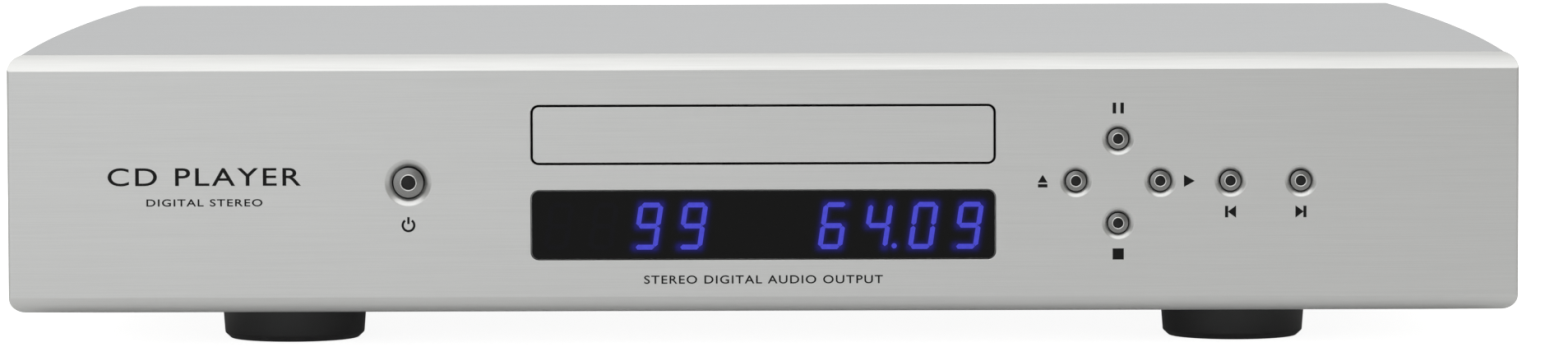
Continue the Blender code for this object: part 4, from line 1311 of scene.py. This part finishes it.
@dataclass
class Display:
    """Smoked window with slanted seven-segment digits."""

    height: float = 13.4 * MM
    width: float = 7.0 * MM
    stroke: float = 1.4 * MM
    slant: float = math.tan(math.radians(8.5))
    notch: float = 0.1 * MM
    shoulder: float = 0.42
    centre_z: float = 35.9 * MM
    proud: float = 0.03 * MM
    buried: float = 0.2 * MM
    dot: float = 0.75 * MM
    point: Point = (37.2 * MM, 30.1 * MM)
    corner: float = 2.0 * MM
    easing: float = 0.15 * MM
    halo_reach: float = 0.6 * MM
    halo_fall: float = 1.3
    halo_columns: int = 6
    grid: float = 0.65 * MM
    left_margin: float = 3.0 * MM
    right_margin: float = 1.0 * MM
    bottom_margin: float = 0.5 * MM
    face_depth: float = 0.05 * MM
    lit: tuple[tuple[str, float], ...] = (
        ("9", -32.8 * MM),
        ("9", -20.1 * MM),
        ("6", 19.8 * MM),
        ("4", 32.6 * MM),
        ("0", 45.5 * MM),
        ("9", 58.4 * MM),
    )
    unlit: tuple[tuple[str, float], ...] = (("8", -58.2 * MM), ("8", -45.5 * MM))

    def build(self) -> None:
        """Builds the window, the lit digits and the dark ones."""
        lines = self.strokes(self.lit)
        self.window([*lines, (Vector(self.point), Vector(self.point))])
        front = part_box("display_window")[0][1]
        lit = self.digits(lines, front - self.proud, front + self.buried)
        prism(circle(self.point, self.dot), front - self.proud, front + self.buried, Axis.Y, lit)
        add_piece("display_digits_lit", lit, LIT, replaces=["display_module"])
        lines = self.strokes(self.unlit)
        dark = self.digits(lines, front - 0.5 * self.proud, front + self.buried)
        add_piece("display_digits_dark", dark, UNLIT)

    def digits(self, lines: list[Line], front: float, back: float) -> BMesh:
        """Thin segments along the given lines.

        Args:
            lines: centre lines of the segments.
            front: Y of their faces.
            back: Y of their backs.

        Returns:
            One mesh with every segment.
        """
        bm = bmesh.new()
        for line in lines:
            prism(self.outline(*line), front, back, Axis.Y, bm)
        return bm

    def strokes(self, digits: Iterable[tuple[str, float]]) -> list[Line]:
        """Centre lines of the segments of some digits, already slanted.

        Args:
            digits: each digit and the X of its middle.

        Returns:
            Start and end of each line.
        """
        half_w = (self.width - self.stroke) / 2
        half_h = (self.height - self.stroke) / 2
        corners = {
            "a": ((-half_w, half_h), (half_w, half_h)),
            "b": ((half_w, half_h), (half_w, 0.0)),
            "c": ((half_w, 0.0), (half_w, -half_h)),
            "d": ((-half_w, -half_h), (half_w, -half_h)),
            "e": ((-half_w, -half_h), (-half_w, 0.0)),
            "f": ((-half_w, 0.0), (-half_w, half_h)),
            "g": ((-half_w, 0.0), (half_w, 0.0)),
        }
        made = []
        for digit, x in digits:
            for segment in SEGMENTS[digit]:
                start, end = [
                    Vector((x + across + up * self.slant, self.centre_z + up))
                    for across, up in corners[segment]
                ]
                made.append((start, end))
        return made

    def outline(self, start: Vector, end: Vector) -> list[Point]:
        """Six-sided outline of a segment with pointed ends.

        Args:
            start: one end of its centre line.
            end: the other end.

        Returns:
            The outline.
        """
        along = (end - start).normalized()
        lies_flat = abs(along.y) < 0.5
        side = Vector((self.slant, 1.0) if lies_flat else (1.0, 0.0)) * self.stroke / 2
        tip_a = start + along * self.notch
        tip_b = end - along * self.notch
        reach = along * self.stroke * self.shoulder
        points = (
            tip_a,
            tip_a + reach + side,
            tip_b - reach + side,
            tip_b,
            tip_b - reach - side,
            tip_a + reach - side,
        )
        return [(point.x, point.y) for point in points]

    def window(self, lines: list[Line]) -> None:
        """Builds the window, with a fine grid where the halo lies.

        Args:
            lines: centre lines of everything lit.
        """
        low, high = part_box("display_window")
        outline = outline_of("display_window", self.corner)
        bm = slab(outline, low[1], high[1], self.easing, segments=2)
        columns = {
            round(spot.x / self.grid + offset)
            for start, end in lines
            for spot in (start, (start + end) / 2, end)
            for offset in range(-self.halo_columns, self.halo_columns + 1)
        }
        first_row = round((low[2] + self.bottom_margin) / self.grid)
        for number in sorted(columns):
            if low[0] + self.left_margin < number * self.grid < high[0] - self.right_margin:
                self.score(bm, number * self.grid, Axis.X)
        for number in range(first_row, round(high[2] / self.grid)):
            self.score(bm, number * self.grid, Axis.Z)
        layer = bm.verts.layers.float.new(GLOW)
        for vert in bm.verts:
            if vert.co.y < low[1] + self.face_depth:
                vert[layer] = self.glow(Vector((vert.co.x, vert.co.z)), lines)
        add_piece("display_window_smoked", bm, WINDOW, replaces=["display_window"])

    def score(self, bm: BMesh, level: float, axis: Axis) -> None:
        """Divides the window along a plane across an axis.

        Args:
            bm: the window.
            level: where the plane lies along the axis.
            axis: the plane's normal.
        """
        bmesh.ops.bisect_plane(
            bm,
            geom=[*bm.verts, *bm.edges, *bm.faces],
            plane_co=at_level((0.0, 0.0), level, axis),
            plane_no=at_level((0.0, 0.0), 1.0, axis),
            dist=1e-7,
        )

    def glow(self, spot: Vector, lines: list[Line]) -> float:
        """Strength of the halo at a point.

        Args:
            spot: X and Z of the point.
            lines: centre lines of everything lit.

        Returns:
            0 far from the digits, 1 on them.
        """
        nearest = 1.0
        for start, end in lines:
            run = end - start
            length = run.length_squared
            t = max(0.0, min(1.0, (spot - start).dot(run) / length)) if length else 0.0
            nearest = min(nearest, (spot - start - run * t).length)
        edge = max(0.0, nearest - self.stroke / 2)
        return math.exp(-((edge / self.halo_reach) ** self.halo_fall))


# ---------------------------------------------------------------- print


@dataclass(frozen=True)
class Mark:
    """A symbol in millimetres about its middle, and where that lies from its button."""

    symbol: Symbol
    button: str
    offset: Point
    outlines: tuple[Sequence[Point], ...]


BESIDE_POWER = -12.1
BESIDE_SMALL = 8.8
STANDBY_RING = (*arc((0.0, 0.0), 1.98, 125, 415, 40), *arc((0.0, 0.0), 1.32, 415, 125, 40))
MARKS = (
    Mark(Symbol.POWER, "button_power", (0.0, BESIDE_POWER), (STANDBY_RING, bar(0, 1.35, 0.66, 2))),
    Mark(
        Symbol.EJECT,
        "button_eject",
        (-9.5, 0.0),
        (((-1.4, -0.4), (1.4, -0.4), (0.0, 1.85)), bar(0.0, -1.3, 2.7, 0.95)),
    ),
    Mark(Symbol.PLAY, "button_play", (8.2, 0.0), (((-1.5, -1.75), (1.6, 0.0), (-1.5, 1.75)),)),
    Mark(
        Symbol.PAUSE,
        "button_pause",
        (0.0, BESIDE_SMALL),
        (bar(-1.1, 0.0, 1.0, 3.1), bar(1.1, 0.0, 1.0, 3.1)),
    ),
    Mark(Symbol.STOP, "button_stop", (0.0, -BESIDE_SMALL), (bar(0.0, 0.0, 3.2, 3.2),)),
    Mark(
        Symbol.PREVIOUS,
        "button_previous",
        (0.0, -BESIDE_SMALL),
        (bar(-1.15, 0.0, 0.9, 3.3), ((1.55, -1.75), (1.55, 1.75), (-0.8, 0.0))),
    ),
    Mark(
        Symbol.NEXT,
        "button_next",
        (0.0, -BESIDE_SMALL),
        (bar(1.15, 0.0, 0.9, 3.3), ((-1.55, 1.75), (-1.55, -1.75), (0.8, 0.0))),
    ),
)


@dataclass
class Print:
    """Symbols beside the buttons and plain lettering, printed on the panel."""

    proud: float = 0.02 * MM
    buried: float = 0.15 * MM
    bolder: float = 0.03 * MM

    def build(self) -> None:
        """Prints every symbol and line of lettering."""
        face = panel_face()
        for mark in MARKS:
            middle = middle_of(mark.button)
            across, up = mark.offset
            bm = bmesh.new()
            for outline in mark.outlines:
                spots = [
                    (middle.x + across * MM + x * MM, middle.z + up * MM + z * MM)
                    for x, z in outline
                ]
                prism(spots, face - self.proud, face + self.buried, Axis.Y, bm)
            add_piece(f"print_{mark.symbol.value}", bm, INK)
        for name, words, x, z, width, height in (
            ("print_title", "CD PLAYER", -159.0, 47.6, 55.0, 5.2),
            ("print_subtitle", "DIGITAL STEREO", -159.0, 41.8, 33.0, 2.1),
            ("print_caption", "STEREO DIGITAL AUDIO OUTPUT", 0.0, 19.4, 68.0, 2.4),
        ):
            spot = Matrix.Translation((x * MM, face + self.buried, z * MM))
            place = spot @ Matrix.Rotation(QUARTER_TURN, 4, "X")
            size = (width * MM, height * MM)
            thick = self.buried + self.proud
            add_words(name, words, size, thick, place, INK, self.bolder / size[1])


# ---------------------------------------------------------------- case


@dataclass
class Foot:
    """A round foot with a tapered side, a chamfered edge and a screw in its recess."""

    node: str
    recess: float = 4.6 * MM
    recess_mouth: float = 5.0 * MM
    recess_depth: float = 3.2 * MM
    flat: float = 18.6 * MM
    edge: float = 20.3 * MM
    chamfer: float = 1.6 * MM
    shoulder: float = 0.2 * MM
    easing: float = 0.3 * MM

    def build(self) -> None:
        """Builds the moulding and its screw."""
        low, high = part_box(self.node)
        seat = on_axis(self.node, Axis.Z)
        top = (high[0] - low[0]) / 2
        profile = (
            (0.0, self.recess_depth),
            (self.recess, self.recess_depth),
            (self.recess_mouth, 0.0),
            (self.flat, 0.0),
            (self.edge, self.chamfer),
            (top, high[2] - self.shoulder),
            (top - self.easing, high[2]),
            (0.0, high[2]),
        )
        bm = turned(rounded_profile(profile, self.easing), seat, Axis.Z, sides=96)
        add_piece(f"{self.node}_moulded", bm, RUBBER, replaces=[self.node])
        FOOT_SCREW.build(f"{self.node}_screw", seat, Axis.Z, 1)


@dataclass
class Case:
    """Top cover and side cheeks with bowed sides, and the feet."""

    front_half: float = 211.7 * MM
    rear_half: float = 208.5 * MM
    rise: float = 3.7 * MM
    steps: int = 60
    easing: float = 0.4 * MM
    cheek: float = 4.0 * MM

    def build(self) -> None:
        """Builds the outer shell."""
        outline = [*self.bowed(0.0, 1), *reversed(self.bowed(0.0, -1))]
        self.plate("top_cover", outline, COVER)
        for name, side in (("side_left", -1), ("side_right", 1)):
            outline = [*self.bowed(0.0, side), *reversed(self.bowed(self.cheek, side))]
            self.plate(name, outline, CHEEK)
        for name in ("foot_front_left", "foot_front_right", "foot_rear_left", "foot_rear_right"):
            Foot(name).build()

    def bowed(self, inset: float, side: int) -> list[Point]:
        """Points along one side, front to rear.

        Args:
            inset: distance inside the outer face.
            side: 1 for the right, -1 for the left.

        Returns:
            The X and Y of each point.
        """
        low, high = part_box("top_cover")
        points = []
        for step in range(self.steps + 1):
            t = step / self.steps
            half = self.front_half + (self.rear_half - self.front_half) * t
            half += 4 * self.rise * t * (1 - t)
            points.append((side * (half - inset), low[1] + (high[1] - low[1]) * t))
        return points

    def plate(self, node: str, outline: list[Point], finish: Finish) -> None:
        """One plate of the shell, as thick as its node is high.

        Args:
            node: the node it stands for.
            outline: its X and Y outline.
            finish: its finish.
        """
        low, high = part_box(node)
        bm = slab(outline, low[2], high[2], self.easing, axis=Axis.Z)
        add_piece(f"{node}_brushed", bm, finish, replaces=[node])


# ---------------------------------------------------------------- drawer


@dataclass
class Drawer:
    """Disc tray and the brushed door on its front."""

    door_corner: float = 1.7 * MM
    door_easing: float = 0.22 * MM
    tray_corner: float = 1.0 * MM
    tray_easing: float = 0.4 * MM
    disc_radius: float = 60.4 * MM
    disc_depth: float = 3.2 * MM
    disc_slope: float = 0.8 * MM
    disc_mouth: float = 0.5 * MM
    rim_drop: float = 0.6 * MM
    rim_rise: float = 0.3 * MM
    recess_easing: float = 0.5 * MM
    inner_radius: float = 41.0 * MM
    inner_depth: float = 4.4 * MM
    inner_slope: float = 0.6 * MM
    notch_bottom: float = 8.0 * MM
    notch_top: float = 9.5 * MM
    notch_inset: float = 1.0 * MM
    notch_easing: float = 1.0 * MM
    notch_angles: Point = (215.0, 325.0)
    slot_half: float = 19.0 * MM

    def build(self) -> None:
        """Builds the door and the tray."""
        low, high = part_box("tray_door")
        outline = outline_of("tray_door", self.door_corner)
        door = slab(outline, low[1], high[1], self.door_easing)
        add_piece("tray_door_brushed", door, PANEL, "drawer", ["tray_door"])
        low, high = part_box("tray")
        outline = outline_of("tray", self.tray_corner, axis=Axis.Z, steps=6)
        tray = slab(outline, low[2], high[2], self.tray_easing, axis=Axis.Z)
        disc = on_axis("turntable", Axis.Z)
        combine(tray, turned(self.recesses(high[2]), disc, Axis.Z, sides=128))
        combine(tray, self.notches(disc[:2], high[2]))
        nose = arc(disc[:2], self.slot_half, 180, 360, 32)
        rear = high[1] + PAST
        slot = [*nose, (self.slot_half, rear), (-self.slot_half, rear)]
        combine(tray, prism(slot, low[2] - PAST, high[2] + PAST, Axis.Z))
        add_piece("tray_moulded", tray, TRAY, "drawer", ["tray"])

    def recesses(self, top: float) -> list[Point]:
        """Profile of the recesses for the two sizes of disc.

        Args:
            top: Z of the tray's top.

        Returns:
            The profile, axis to axis.
        """
        ledge = top - self.disc_depth
        well = top - self.inner_depth
        mouth = self.disc_radius + self.disc_mouth
        corners = (
            (0.0, well),
            (self.inner_radius - self.inner_slope, well),
            (self.inner_radius, ledge),
            (self.disc_radius - self.disc_slope, ledge),
            (self.disc_radius, top - self.rim_drop),
            (mouth, top + self.rim_rise),
            (mouth, top + PAST),
            (0.0, top + PAST),
        )
        return rounded_profile(corners, self.recess_easing)

    def notches(self, disc: Point, top: float) -> BMesh:
        """Cutter for the finger notches at the disc's edge.

        Args:
            disc: X and Y of the disc's middle.
            top: Z of the tray's top.

        Returns:
            The cutter.
        """
        ledge = top - self.disc_depth
        over = top + PAST
        corners = ((0.0, ledge), (self.notch_bottom, ledge), (self.notch_top, over), (0.0, over))
        profile = rounded_profile(corners, self.notch_easing)
        bm = bmesh.new()
        for angle in self.notch_angles:
            spot = arc(disc, self.disc_radius - self.notch_inset, angle, angle, 1)[0]
            turned(profile, (*spot, 0.0), Axis.Z, into=bm)
        return bm


# ---------------------------------------------------------------- rear


def outside() -> float:
    """Y of the rear plate's outer face."""
    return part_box("rear_panel")[1][1]


@dataclass
class Housing:
    """A flanged box that stands through the rear plate; its half sizes run across and up."""

    node: str
    body: Point
    cutout: Point
    corner: float
    easing: float
    gap: float = 0.3 * MM

    def half(self, sizes: Point, low: float, high: float, into: BMesh | None = None) -> BMesh:
        """A block about the housing's middle.

        Args:
            sizes: its half width and half height.
            low: Y where it starts.
            high: Y where it ends.
            into: the mesh to add it to, or None for a new one.

        Returns:
            The mesh.
        """
        x, _, z = middle_of(self.node)
        across, up = sizes
        return block((x - across, low, z - up), (x + across, high, z + up), into)

    def solid(self) -> BMesh:
        """A flange on the plate with a box behind it, before its cavity is cut.

        Returns:
            The solid.
        """
        low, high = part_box(self.node)
        outline = outline_of(self.node, self.corner)
        bm = slab(outline, outside() + self.gap, high[1], self.easing)
        combine(bm, self.half(self.body, low[1], high[1]), "UNION")
        return bm


@dataclass
class Inlet(Housing):
    """Three-pin mains inlet with a shaped cavity, held by two countersunk screws."""

    cavity: Point = (12.0 * MM, 8.0 * MM)
    cavity_cut: float = 4.0 * MM
    cavity_depth: float = 15.0 * MM
    pins: tuple[Point, ...] = ((-7 * MM, -2 * MM), (0.0, 2 * MM), (7 * MM, -2 * MM))
    pin: Point = (2.0 * MM, 4.0 * MM)
    pin_corner: float = 0.6 * MM
    pin_easing: float = 0.3 * MM
    pin_root: float = 15.5 * MM
    pin_tip: float = 1.5 * MM
    screw_x: float = 19.5 * MM
    hole: float = 1.7 * MM
    hole_overlap: float = 1.0 * MM
    sink: float = 3.0 * MM
    sink_depth: float = 1.2 * MM
    sink_lip: float = 0.1 * MM

    def build(self) -> None:
        """Builds the housing, its pins and its screws."""
        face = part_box(self.node)[1][1]
        x, _, z = middle_of(self.node)
        bm = self.solid()
        outline = self.cavity_outline(x, z)
        combine(bm, prism(outline, face - self.cavity_depth, face + PAST, Axis.Y))
        holes = bmesh.new()
        for side in (-1, 1):
            spot = (x + side * self.screw_x, 0.0, z)
            turned(self.countersink(face), spot, sides=40, into=holes)
        combine(bm, holes)
        add_piece("mains_inlet_moulded", bm, PLASTIC, replaces=[self.node])
        pins = bmesh.new()
        for across, up in self.pins:
            outline = rounded(self.pin, self.pin_corner, (x + across, z + up), steps=4)
            prism(outline, face - self.pin_root, face - self.pin_tip, Axis.Y, pins)
        soften(pins, self.pin_easing, segments=2)
        add_piece("mains_inlet_pins", pins, STEEL)
        for name, side in (("left", -1), ("right", 1)):
            seat = (x + side * self.screw_x, face, z)
            INLET_SCREW.build(f"mains_inlet_screw_{name}", seat)

    def cavity_outline(self, x: float, z: float) -> list[Point]:
        """Outline of the cavity, with its upper corners cut off.

        Args:
            x: its middle across.
            z: its middle up.

        Returns:
            Six corners.
        """
        left, right = x - self.cavity[0], x + self.cavity[0]
        low, high = z - self.cavity[1], z + self.cavity[1]
        cut = self.cavity_cut
        upper = [(right, high - cut), (right - cut, high), (left + cut, high), (left, high - cut)]
        return [(left, low), (right, low), *upper]

    def countersink(self, face: float) -> list[Point]:
        """Profile of a screw hole.

        Args:
            face: Y of the flange's outer face.

        Returns:
            The profile, axis to axis.
        """
        start = outside() + self.gap - self.hole_overlap
        return [
            (0.0, start),
            (self.hole, start),
            (self.hole, face - self.sink_depth),
            (self.sink, face + self.sink_lip),
            (self.sink, face + PAST),
            (0.0, face + PAST),
        ]


@dataclass
class Switch(Housing):
    """Rocker switch: a frame with a well, and a hollow-faced rocker tilted to one side."""

    well: Point = (8.0 * MM, 5.0 * MM)
    well_depth: float = 10.8 * MM
    rocker_half: float = 7.2 * MM
    pivot: float = 1.0 * MM
    hollow: float = 16.6 * MM
    hollow_height: float = 16.7 * MM
    hollow_from: float = 244.5
    hollow_to: float = 295.5
    hollow_steps: int = 14
    tilt: float = 8.3
    rocker_easing: float = 0.3 * MM
    rocker_edges: float = 40.0

    def build(self) -> None:
        """Builds the frame and the rocker."""
        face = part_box(self.node)[1][1]
        bm = self.solid()
        combine(bm, self.half(self.well, face - self.well_depth, face + PAST))
        add_piece("mains_switch_frame", bm, PLASTIC, replaces=[self.node])
        low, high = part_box("mains_rocker")
        bm = prism(self.rocker(low[1]), low[2], high[2], Axis.Z)
        soften(bm, self.rocker_easing, angle=self.rocker_edges)
        add_piece("mains_rocker_moulded", bm, PLASTIC, "mains_rocker", ["mains_rocker"])

    def rocker(self, bottom: float) -> list[Point]:
        """Outline of the rocker in X and Y, as it stands at rest.

        Args:
            bottom: Y of its inner side.

        Returns:
            The outline.
        """
        x = middle_of(self.node).x
        pivot = bottom + self.pivot
        centre = (x, pivot + self.hollow_height)
        face = arc(centre, self.hollow, self.hollow_from, self.hollow_to, self.hollow_steps)
        turn = math.radians(self.tilt)
        outline = [(x - self.rocker_half, bottom), (x + self.rocker_half, bottom)]
        for spot_x, spot_y in reversed(face):
            across, out = spot_x - x, spot_y - pivot
            tilted_x = x + across * math.cos(turn) + out * math.sin(turn)
            tilted_y = pivot - across * math.sin(turn) + out * math.cos(turn)
            outline.append((tilted_x, tilted_y))
        return outline


@dataclass
class Socket:
    """A phono socket: nut, plated barrel, coloured insulator and centre contact."""

    node: str
    ring: Finish
    gap: float = 0.3 * MM
    bore: float = 3.3 * MM
    tail: float = 3.55 * MM
    tail_inset: float = 1.0 * MM
    nut: float = 6.0 * MM
    nut_end: float = 2.3 * MM
    barrel: float = 4.15 * MM
    easing: float = 0.2 * MM
    seam: float = 0.1 * MM
    insulator: Point = (1.75 * MM, 3.25 * MM)
    insulator_inset: float = 0.6 * MM
    contact: Point = (1.45 * MM, 1.7 * MM)
    contact_inset: float = 1.2 * MM

    def build(self) -> None:
        """Builds the socket's three parts."""
        low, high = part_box(self.node)
        spot = on_axis(self.node)
        seat = outside() + self.gap
        nut_end = outside() + self.nut_end
        tail = low[1] + self.tail_inset
        barrel = (
            (self.bore, tail),
            (self.tail, tail),
            (self.tail, seat),
            (self.nut, seat),
            (self.nut, nut_end),
            (self.barrel, nut_end),
            (self.barrel, high[1]),
            (self.bore, high[1]),
            (self.bore, tail + self.seam),
        )
        bm = turned(rounded_profile(barrel, self.easing, steps=3), spot, sides=64)
        add_piece(f"{self.node}_barrel", bm, GOLD, replaces=[self.node])
        insulator = sleeve(*self.insulator, tail, high[1] - self.insulator_inset)
        add_piece(f"{self.node}_insulator", turned(insulator, spot), self.ring)
        contact = sleeve(*self.contact, low[1], high[1] - self.contact_inset)
        add_piece(f"{self.node}_contact", turned(contact, spot, sides=32), GOLD)


HOUSINGS = (
    Inlet("mains_inlet", (14.0 * MM, 10.5 * MM), (14.3 * MM, 10.8 * MM), 3.0 * MM, 0.5 * MM),
    Switch("mains_switch", (9.5 * MM, 6.5 * MM), (9.8 * MM, 6.8 * MM), 1.5 * MM, 0.6 * MM),
)
SOCKETS = (
    Socket("analog_socket_right", RED_RING),
    Socket("analog_socket_left", WHITE_RING),
    Socket("digital_socket", ORANGE_RING),
)


@dataclass
class Rear:
    """Rear plate with its screws, mains inlet, rocker switch, sockets and lettering."""

    easing: float = 0.3 * MM
    screw_inset: float = 7.0 * MM
    socket_hole: float = 4.45 * MM
    ink_thick: float = 0.2 * MM
    ink_buried: float = 0.17 * MM

    def build(self) -> None:
        """Builds everything on the rear."""
        self.plate()
        for part in (*HOUSINGS, *SOCKETS):
            part.build()
        self.labels()

    def plate(self) -> None:
        """Plate with cut-outs and a row of screws along its top and its bottom."""
        low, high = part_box("rear_panel")
        bm = block(low, high)
        soften(bm, self.easing, segments=2)
        cuts = bmesh.new()
        near, far = low[1] - PAST, high[1] + PAST
        for part in HOUSINGS:
            part.half(part.cutout, near, far, cuts)
        for part in SOCKETS:
            turned(sleeve(0.0, self.socket_hole, near, far), on_axis(part.node), into=cuts)
        combine(bm, cuts)
        add_piece("rear_panel_coated", bm, DARK_SHEET, replaces=["rear_panel"])
        inset = self.screw_inset
        xs = (low[0] + inset, low[0] / 3, high[0] / 3, high[0] - inset)
        spots = [(x, high[1], z) for x in xs for z in (low[2] + inset, high[2] - inset)]
        for number, spot in enumerate(spots):
            REAR_SCREW.build(f"rear_screw_{number}", spot)

    def labels(self) -> None:
        """Plain words above the rear fittings."""
        turn = Matrix.Rotation(math.pi, 4, "Z") @ Matrix.Rotation(QUARTER_TURN, 4, "X")
        for name, words, node, rise, width, height in (
            ("label_right", "R", "analog_socket_right", 8.0, 2.0, 2.6),
            ("label_left", "L", "analog_socket_left", 8.0, 1.8, 2.6),
            ("label_digital", "DIGITAL OUT", "digital_socket", 8.5, 18.0, 2.4),
            ("label_mains", "AC IN", "mains_inlet", 14.5, 9.0, 2.6),
            ("label_switch", "POWER", "mains_switch", 10.0, 10.0, 2.4),
        ):
            middle = middle_of(node)
            spot = (middle.x, outside() - self.ink_buried, middle.z + rise * MM)
            place = Matrix.Translation(spot) @ turn
            add_words(name, words, (width * MM, height * MM), self.ink_thick, place, WHITE_INK)


# ---------------------------------------------------------------- inside


@dataclass
class Inside:
    """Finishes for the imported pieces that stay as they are."""

    def build(self) -> None:
        """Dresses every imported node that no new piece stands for."""
        centre = tuple(middle_of("toroidal_transformer"))
        winding = Wound(
            "transformer_winding", "wound_transformer", COPPER_TAPE, 0.4, centre=centre
        )
        groups: dict[Finish, tuple[str, ...]] = {
            PLATED: ("base_plate",),
            BOARD: ("display_board", "button_board", "power_board"),
            LOADED_BOARD: ("supply_board", "audio_board"),
            TRAY: ("tray_rack", "loader_base", "clamp_bridge", "lift_frame"),
            ACETAL: ("drive_gear", "pulley_gear", "motor_pulley", "cam_slider", "sled_gear"),
            SOFT_RUBBER: (
                "drive_belt",
                "grommet_front_left",
                "grommet_front_right",
                "grommet_rear_left",
                "grommet_rear_right",
            ),
            STEEL: (
                "loading_motor",
                "clamp_puck",
                "traverse_plate",
                "spindle_motor",
                "guide_rod_left",
                "guide_rod_right",
                "sled_motor",
                "transformer_clamp",
            ),
            PLASTIC: ("turntable", "optical_pickup"),
            LENS: ("objective_lens",),
            winding: ("toroidal_transformer",),
        }
        for finish, names in groups.items():
            for name in names:
                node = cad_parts[name]
                node.data.materials.clear()
                node.data.materials.append(material_of(finish))
                log.info("%s: dressed in %s", name, finish.name)


# ---------------------------------------------------------------- studio


def aim(thing: Object, spot: Place, target: Sequence[float], roll: float = 0.0) -> None:
    """Stands a lamp or a camera at a spot, turned to a target.

    Args:
        thing: what to place.
        spot: where it stands.
        target: what it points at.
        roll: how far it leans, in degrees.
    """
    thing.location = spot
    look = Vector(target) - Vector(spot)
    lean = Quaternion((0.0, 0.0, 1.0), math.radians(roll))
    thing.rotation_mode = "QUATERNION"
    thing.rotation_quaternion = look.to_track_quat("-Z", "Y") @ lean
    bpy.context.scene.collection.objects.link(thing)


@dataclass(frozen=True)
class Softbox:
    """A soft rectangular light."""

    name: str
    spot: Place
    target: Place
    size: Point
    watts: float
    colour: Colour = WHITE

    def build(self) -> None:
        """Hangs the light."""
        data = bpy.data.lights.new(self.name, "AREA")
        data.color = self.colour
        data.shape = "RECTANGLE"
        data.size, data.size_y = self.size
        data.energy = self.watts
        lamp = bpy.data.objects.new(self.name, data)
        lamp.visible_camera = False
        aim(lamp, self.spot, self.target)


COOL: Colour = (0.94, 0.96, 1.0)
LIGHTS = (
    Softbox("overhead", (-0.2, -0.75, 1.7), (-0.1, -0.2, 0.0), (3.0, 1.6), 16.6),
    Softbox("left_front", (-1.15, -2.6, 0.9), (-1.0, -0.2, 0.1), (2.6, 1.8), 10.3, COOL),
    Softbox("rear", (0.0, 3.2, 1.1), (0.0, 0.0, 0.1), (1.6, 2.0), 3.4, COOL),
    Softbox("ceiling", (0.0, 1.9, 2.3), (0.0, 0.1, 0.1), (4.0, 2.2), 9.0),
)


@dataclass
class Studio:
    """Pale floor, soft lights and the camera."""

    distance: float = 2.074
    camera_x: float = 0.0002
    camera_z: float = 0.1795
    target: Point = (0.0059, 0.0508)
    lens: float = 167.7
    sensor: float = 36.0
    roll: float = -0.14
    clip: float = 50.0
    floor_half: float = 12.0
    floor_colour: Colour = (0.86, 0.86, 0.86)
    floor_roughness: float = 0.9
    floor_seen: float = 0.85
    floor_glow: float = 0.06
    sky: Colour = (1.0, 1.0, 0.965)
    sky_strength: float = 0.4

    def build(self) -> None:
        """Builds the whole studio."""
        self.camera()
        self.floor()
        self.world()
        for lamp in LIGHTS:
            lamp.build()
        bpy.context.scene.view_settings.view_transform = "Standard"

    def camera(self) -> None:
        """Long lens a little above the player."""
        face = panel_face()
        data = bpy.data.cameras.new("camera")
        data.lens = self.lens
        data.sensor_width = self.sensor
        data.clip_end = self.clip
        view = bpy.data.objects.new("camera", data)
        spot = (self.camera_x, face - self.distance, self.camera_z)
        aim(view, spot, (self.target[0], face, self.target[1]), self.roll)
        bpy.context.scene.camera = view

    def floor(self) -> None:
        """White floor that stays white where it is seen directly."""
        graph = Graph("studio_floor")
        graph.set(Base_Color=(*self.floor_colour, 1.0), Roughness=self.floor_roughness)
        graph.set(Specular_IOR_Level=0.0, Emission_Color=(*WHITE, 1.0))
        rays = graph.node("ShaderNodeLightPath")
        seen = graph.math("MULTIPLY", rays.outputs["Is Camera Ray"], self.floor_seen)
        graph.set(Emission_Strength=graph.math("ADD", seen, self.floor_glow))
        bm = bmesh.new()
        bmesh.ops.create_grid(bm, x_segments=1, y_segments=1, size=self.floor_half)
        mesh = bpy.data.meshes.new("studio_floor")
        bm.to_mesh(mesh)
        bm.free()
        mesh.materials.append(graph.material)
        plane = bpy.data.objects.new("studio_floor", mesh)
        bpy.context.scene.collection.objects.link(plane)

    def world(self) -> None:
        """Even white surroundings."""
        world = bpy.data.worlds.new("studio")
        world.use_nodes = True
        sky = world.node_tree.nodes["Background"]
        sky.inputs["Color"].default_value = (*self.sky, 1.0)
        sky.inputs["Strength"].default_value = self.sky_strength
        bpy.context.scene.world = world


def main() -> None:
    """Builds the player's sub-assemblies in order."""
    logging.basicConfig(level=logging.INFO, format="%(message)s")
    FrontPanel().build()
    for node, shape in BUTTONS.items():
        PushButton(node, shape).build()
    Display().build()
    Print().build()
    Case().build()
    Drawer().build()
    Rear().build()
    Inside().build()
    Studio().build()


if __name__ == "__main__":
    main()
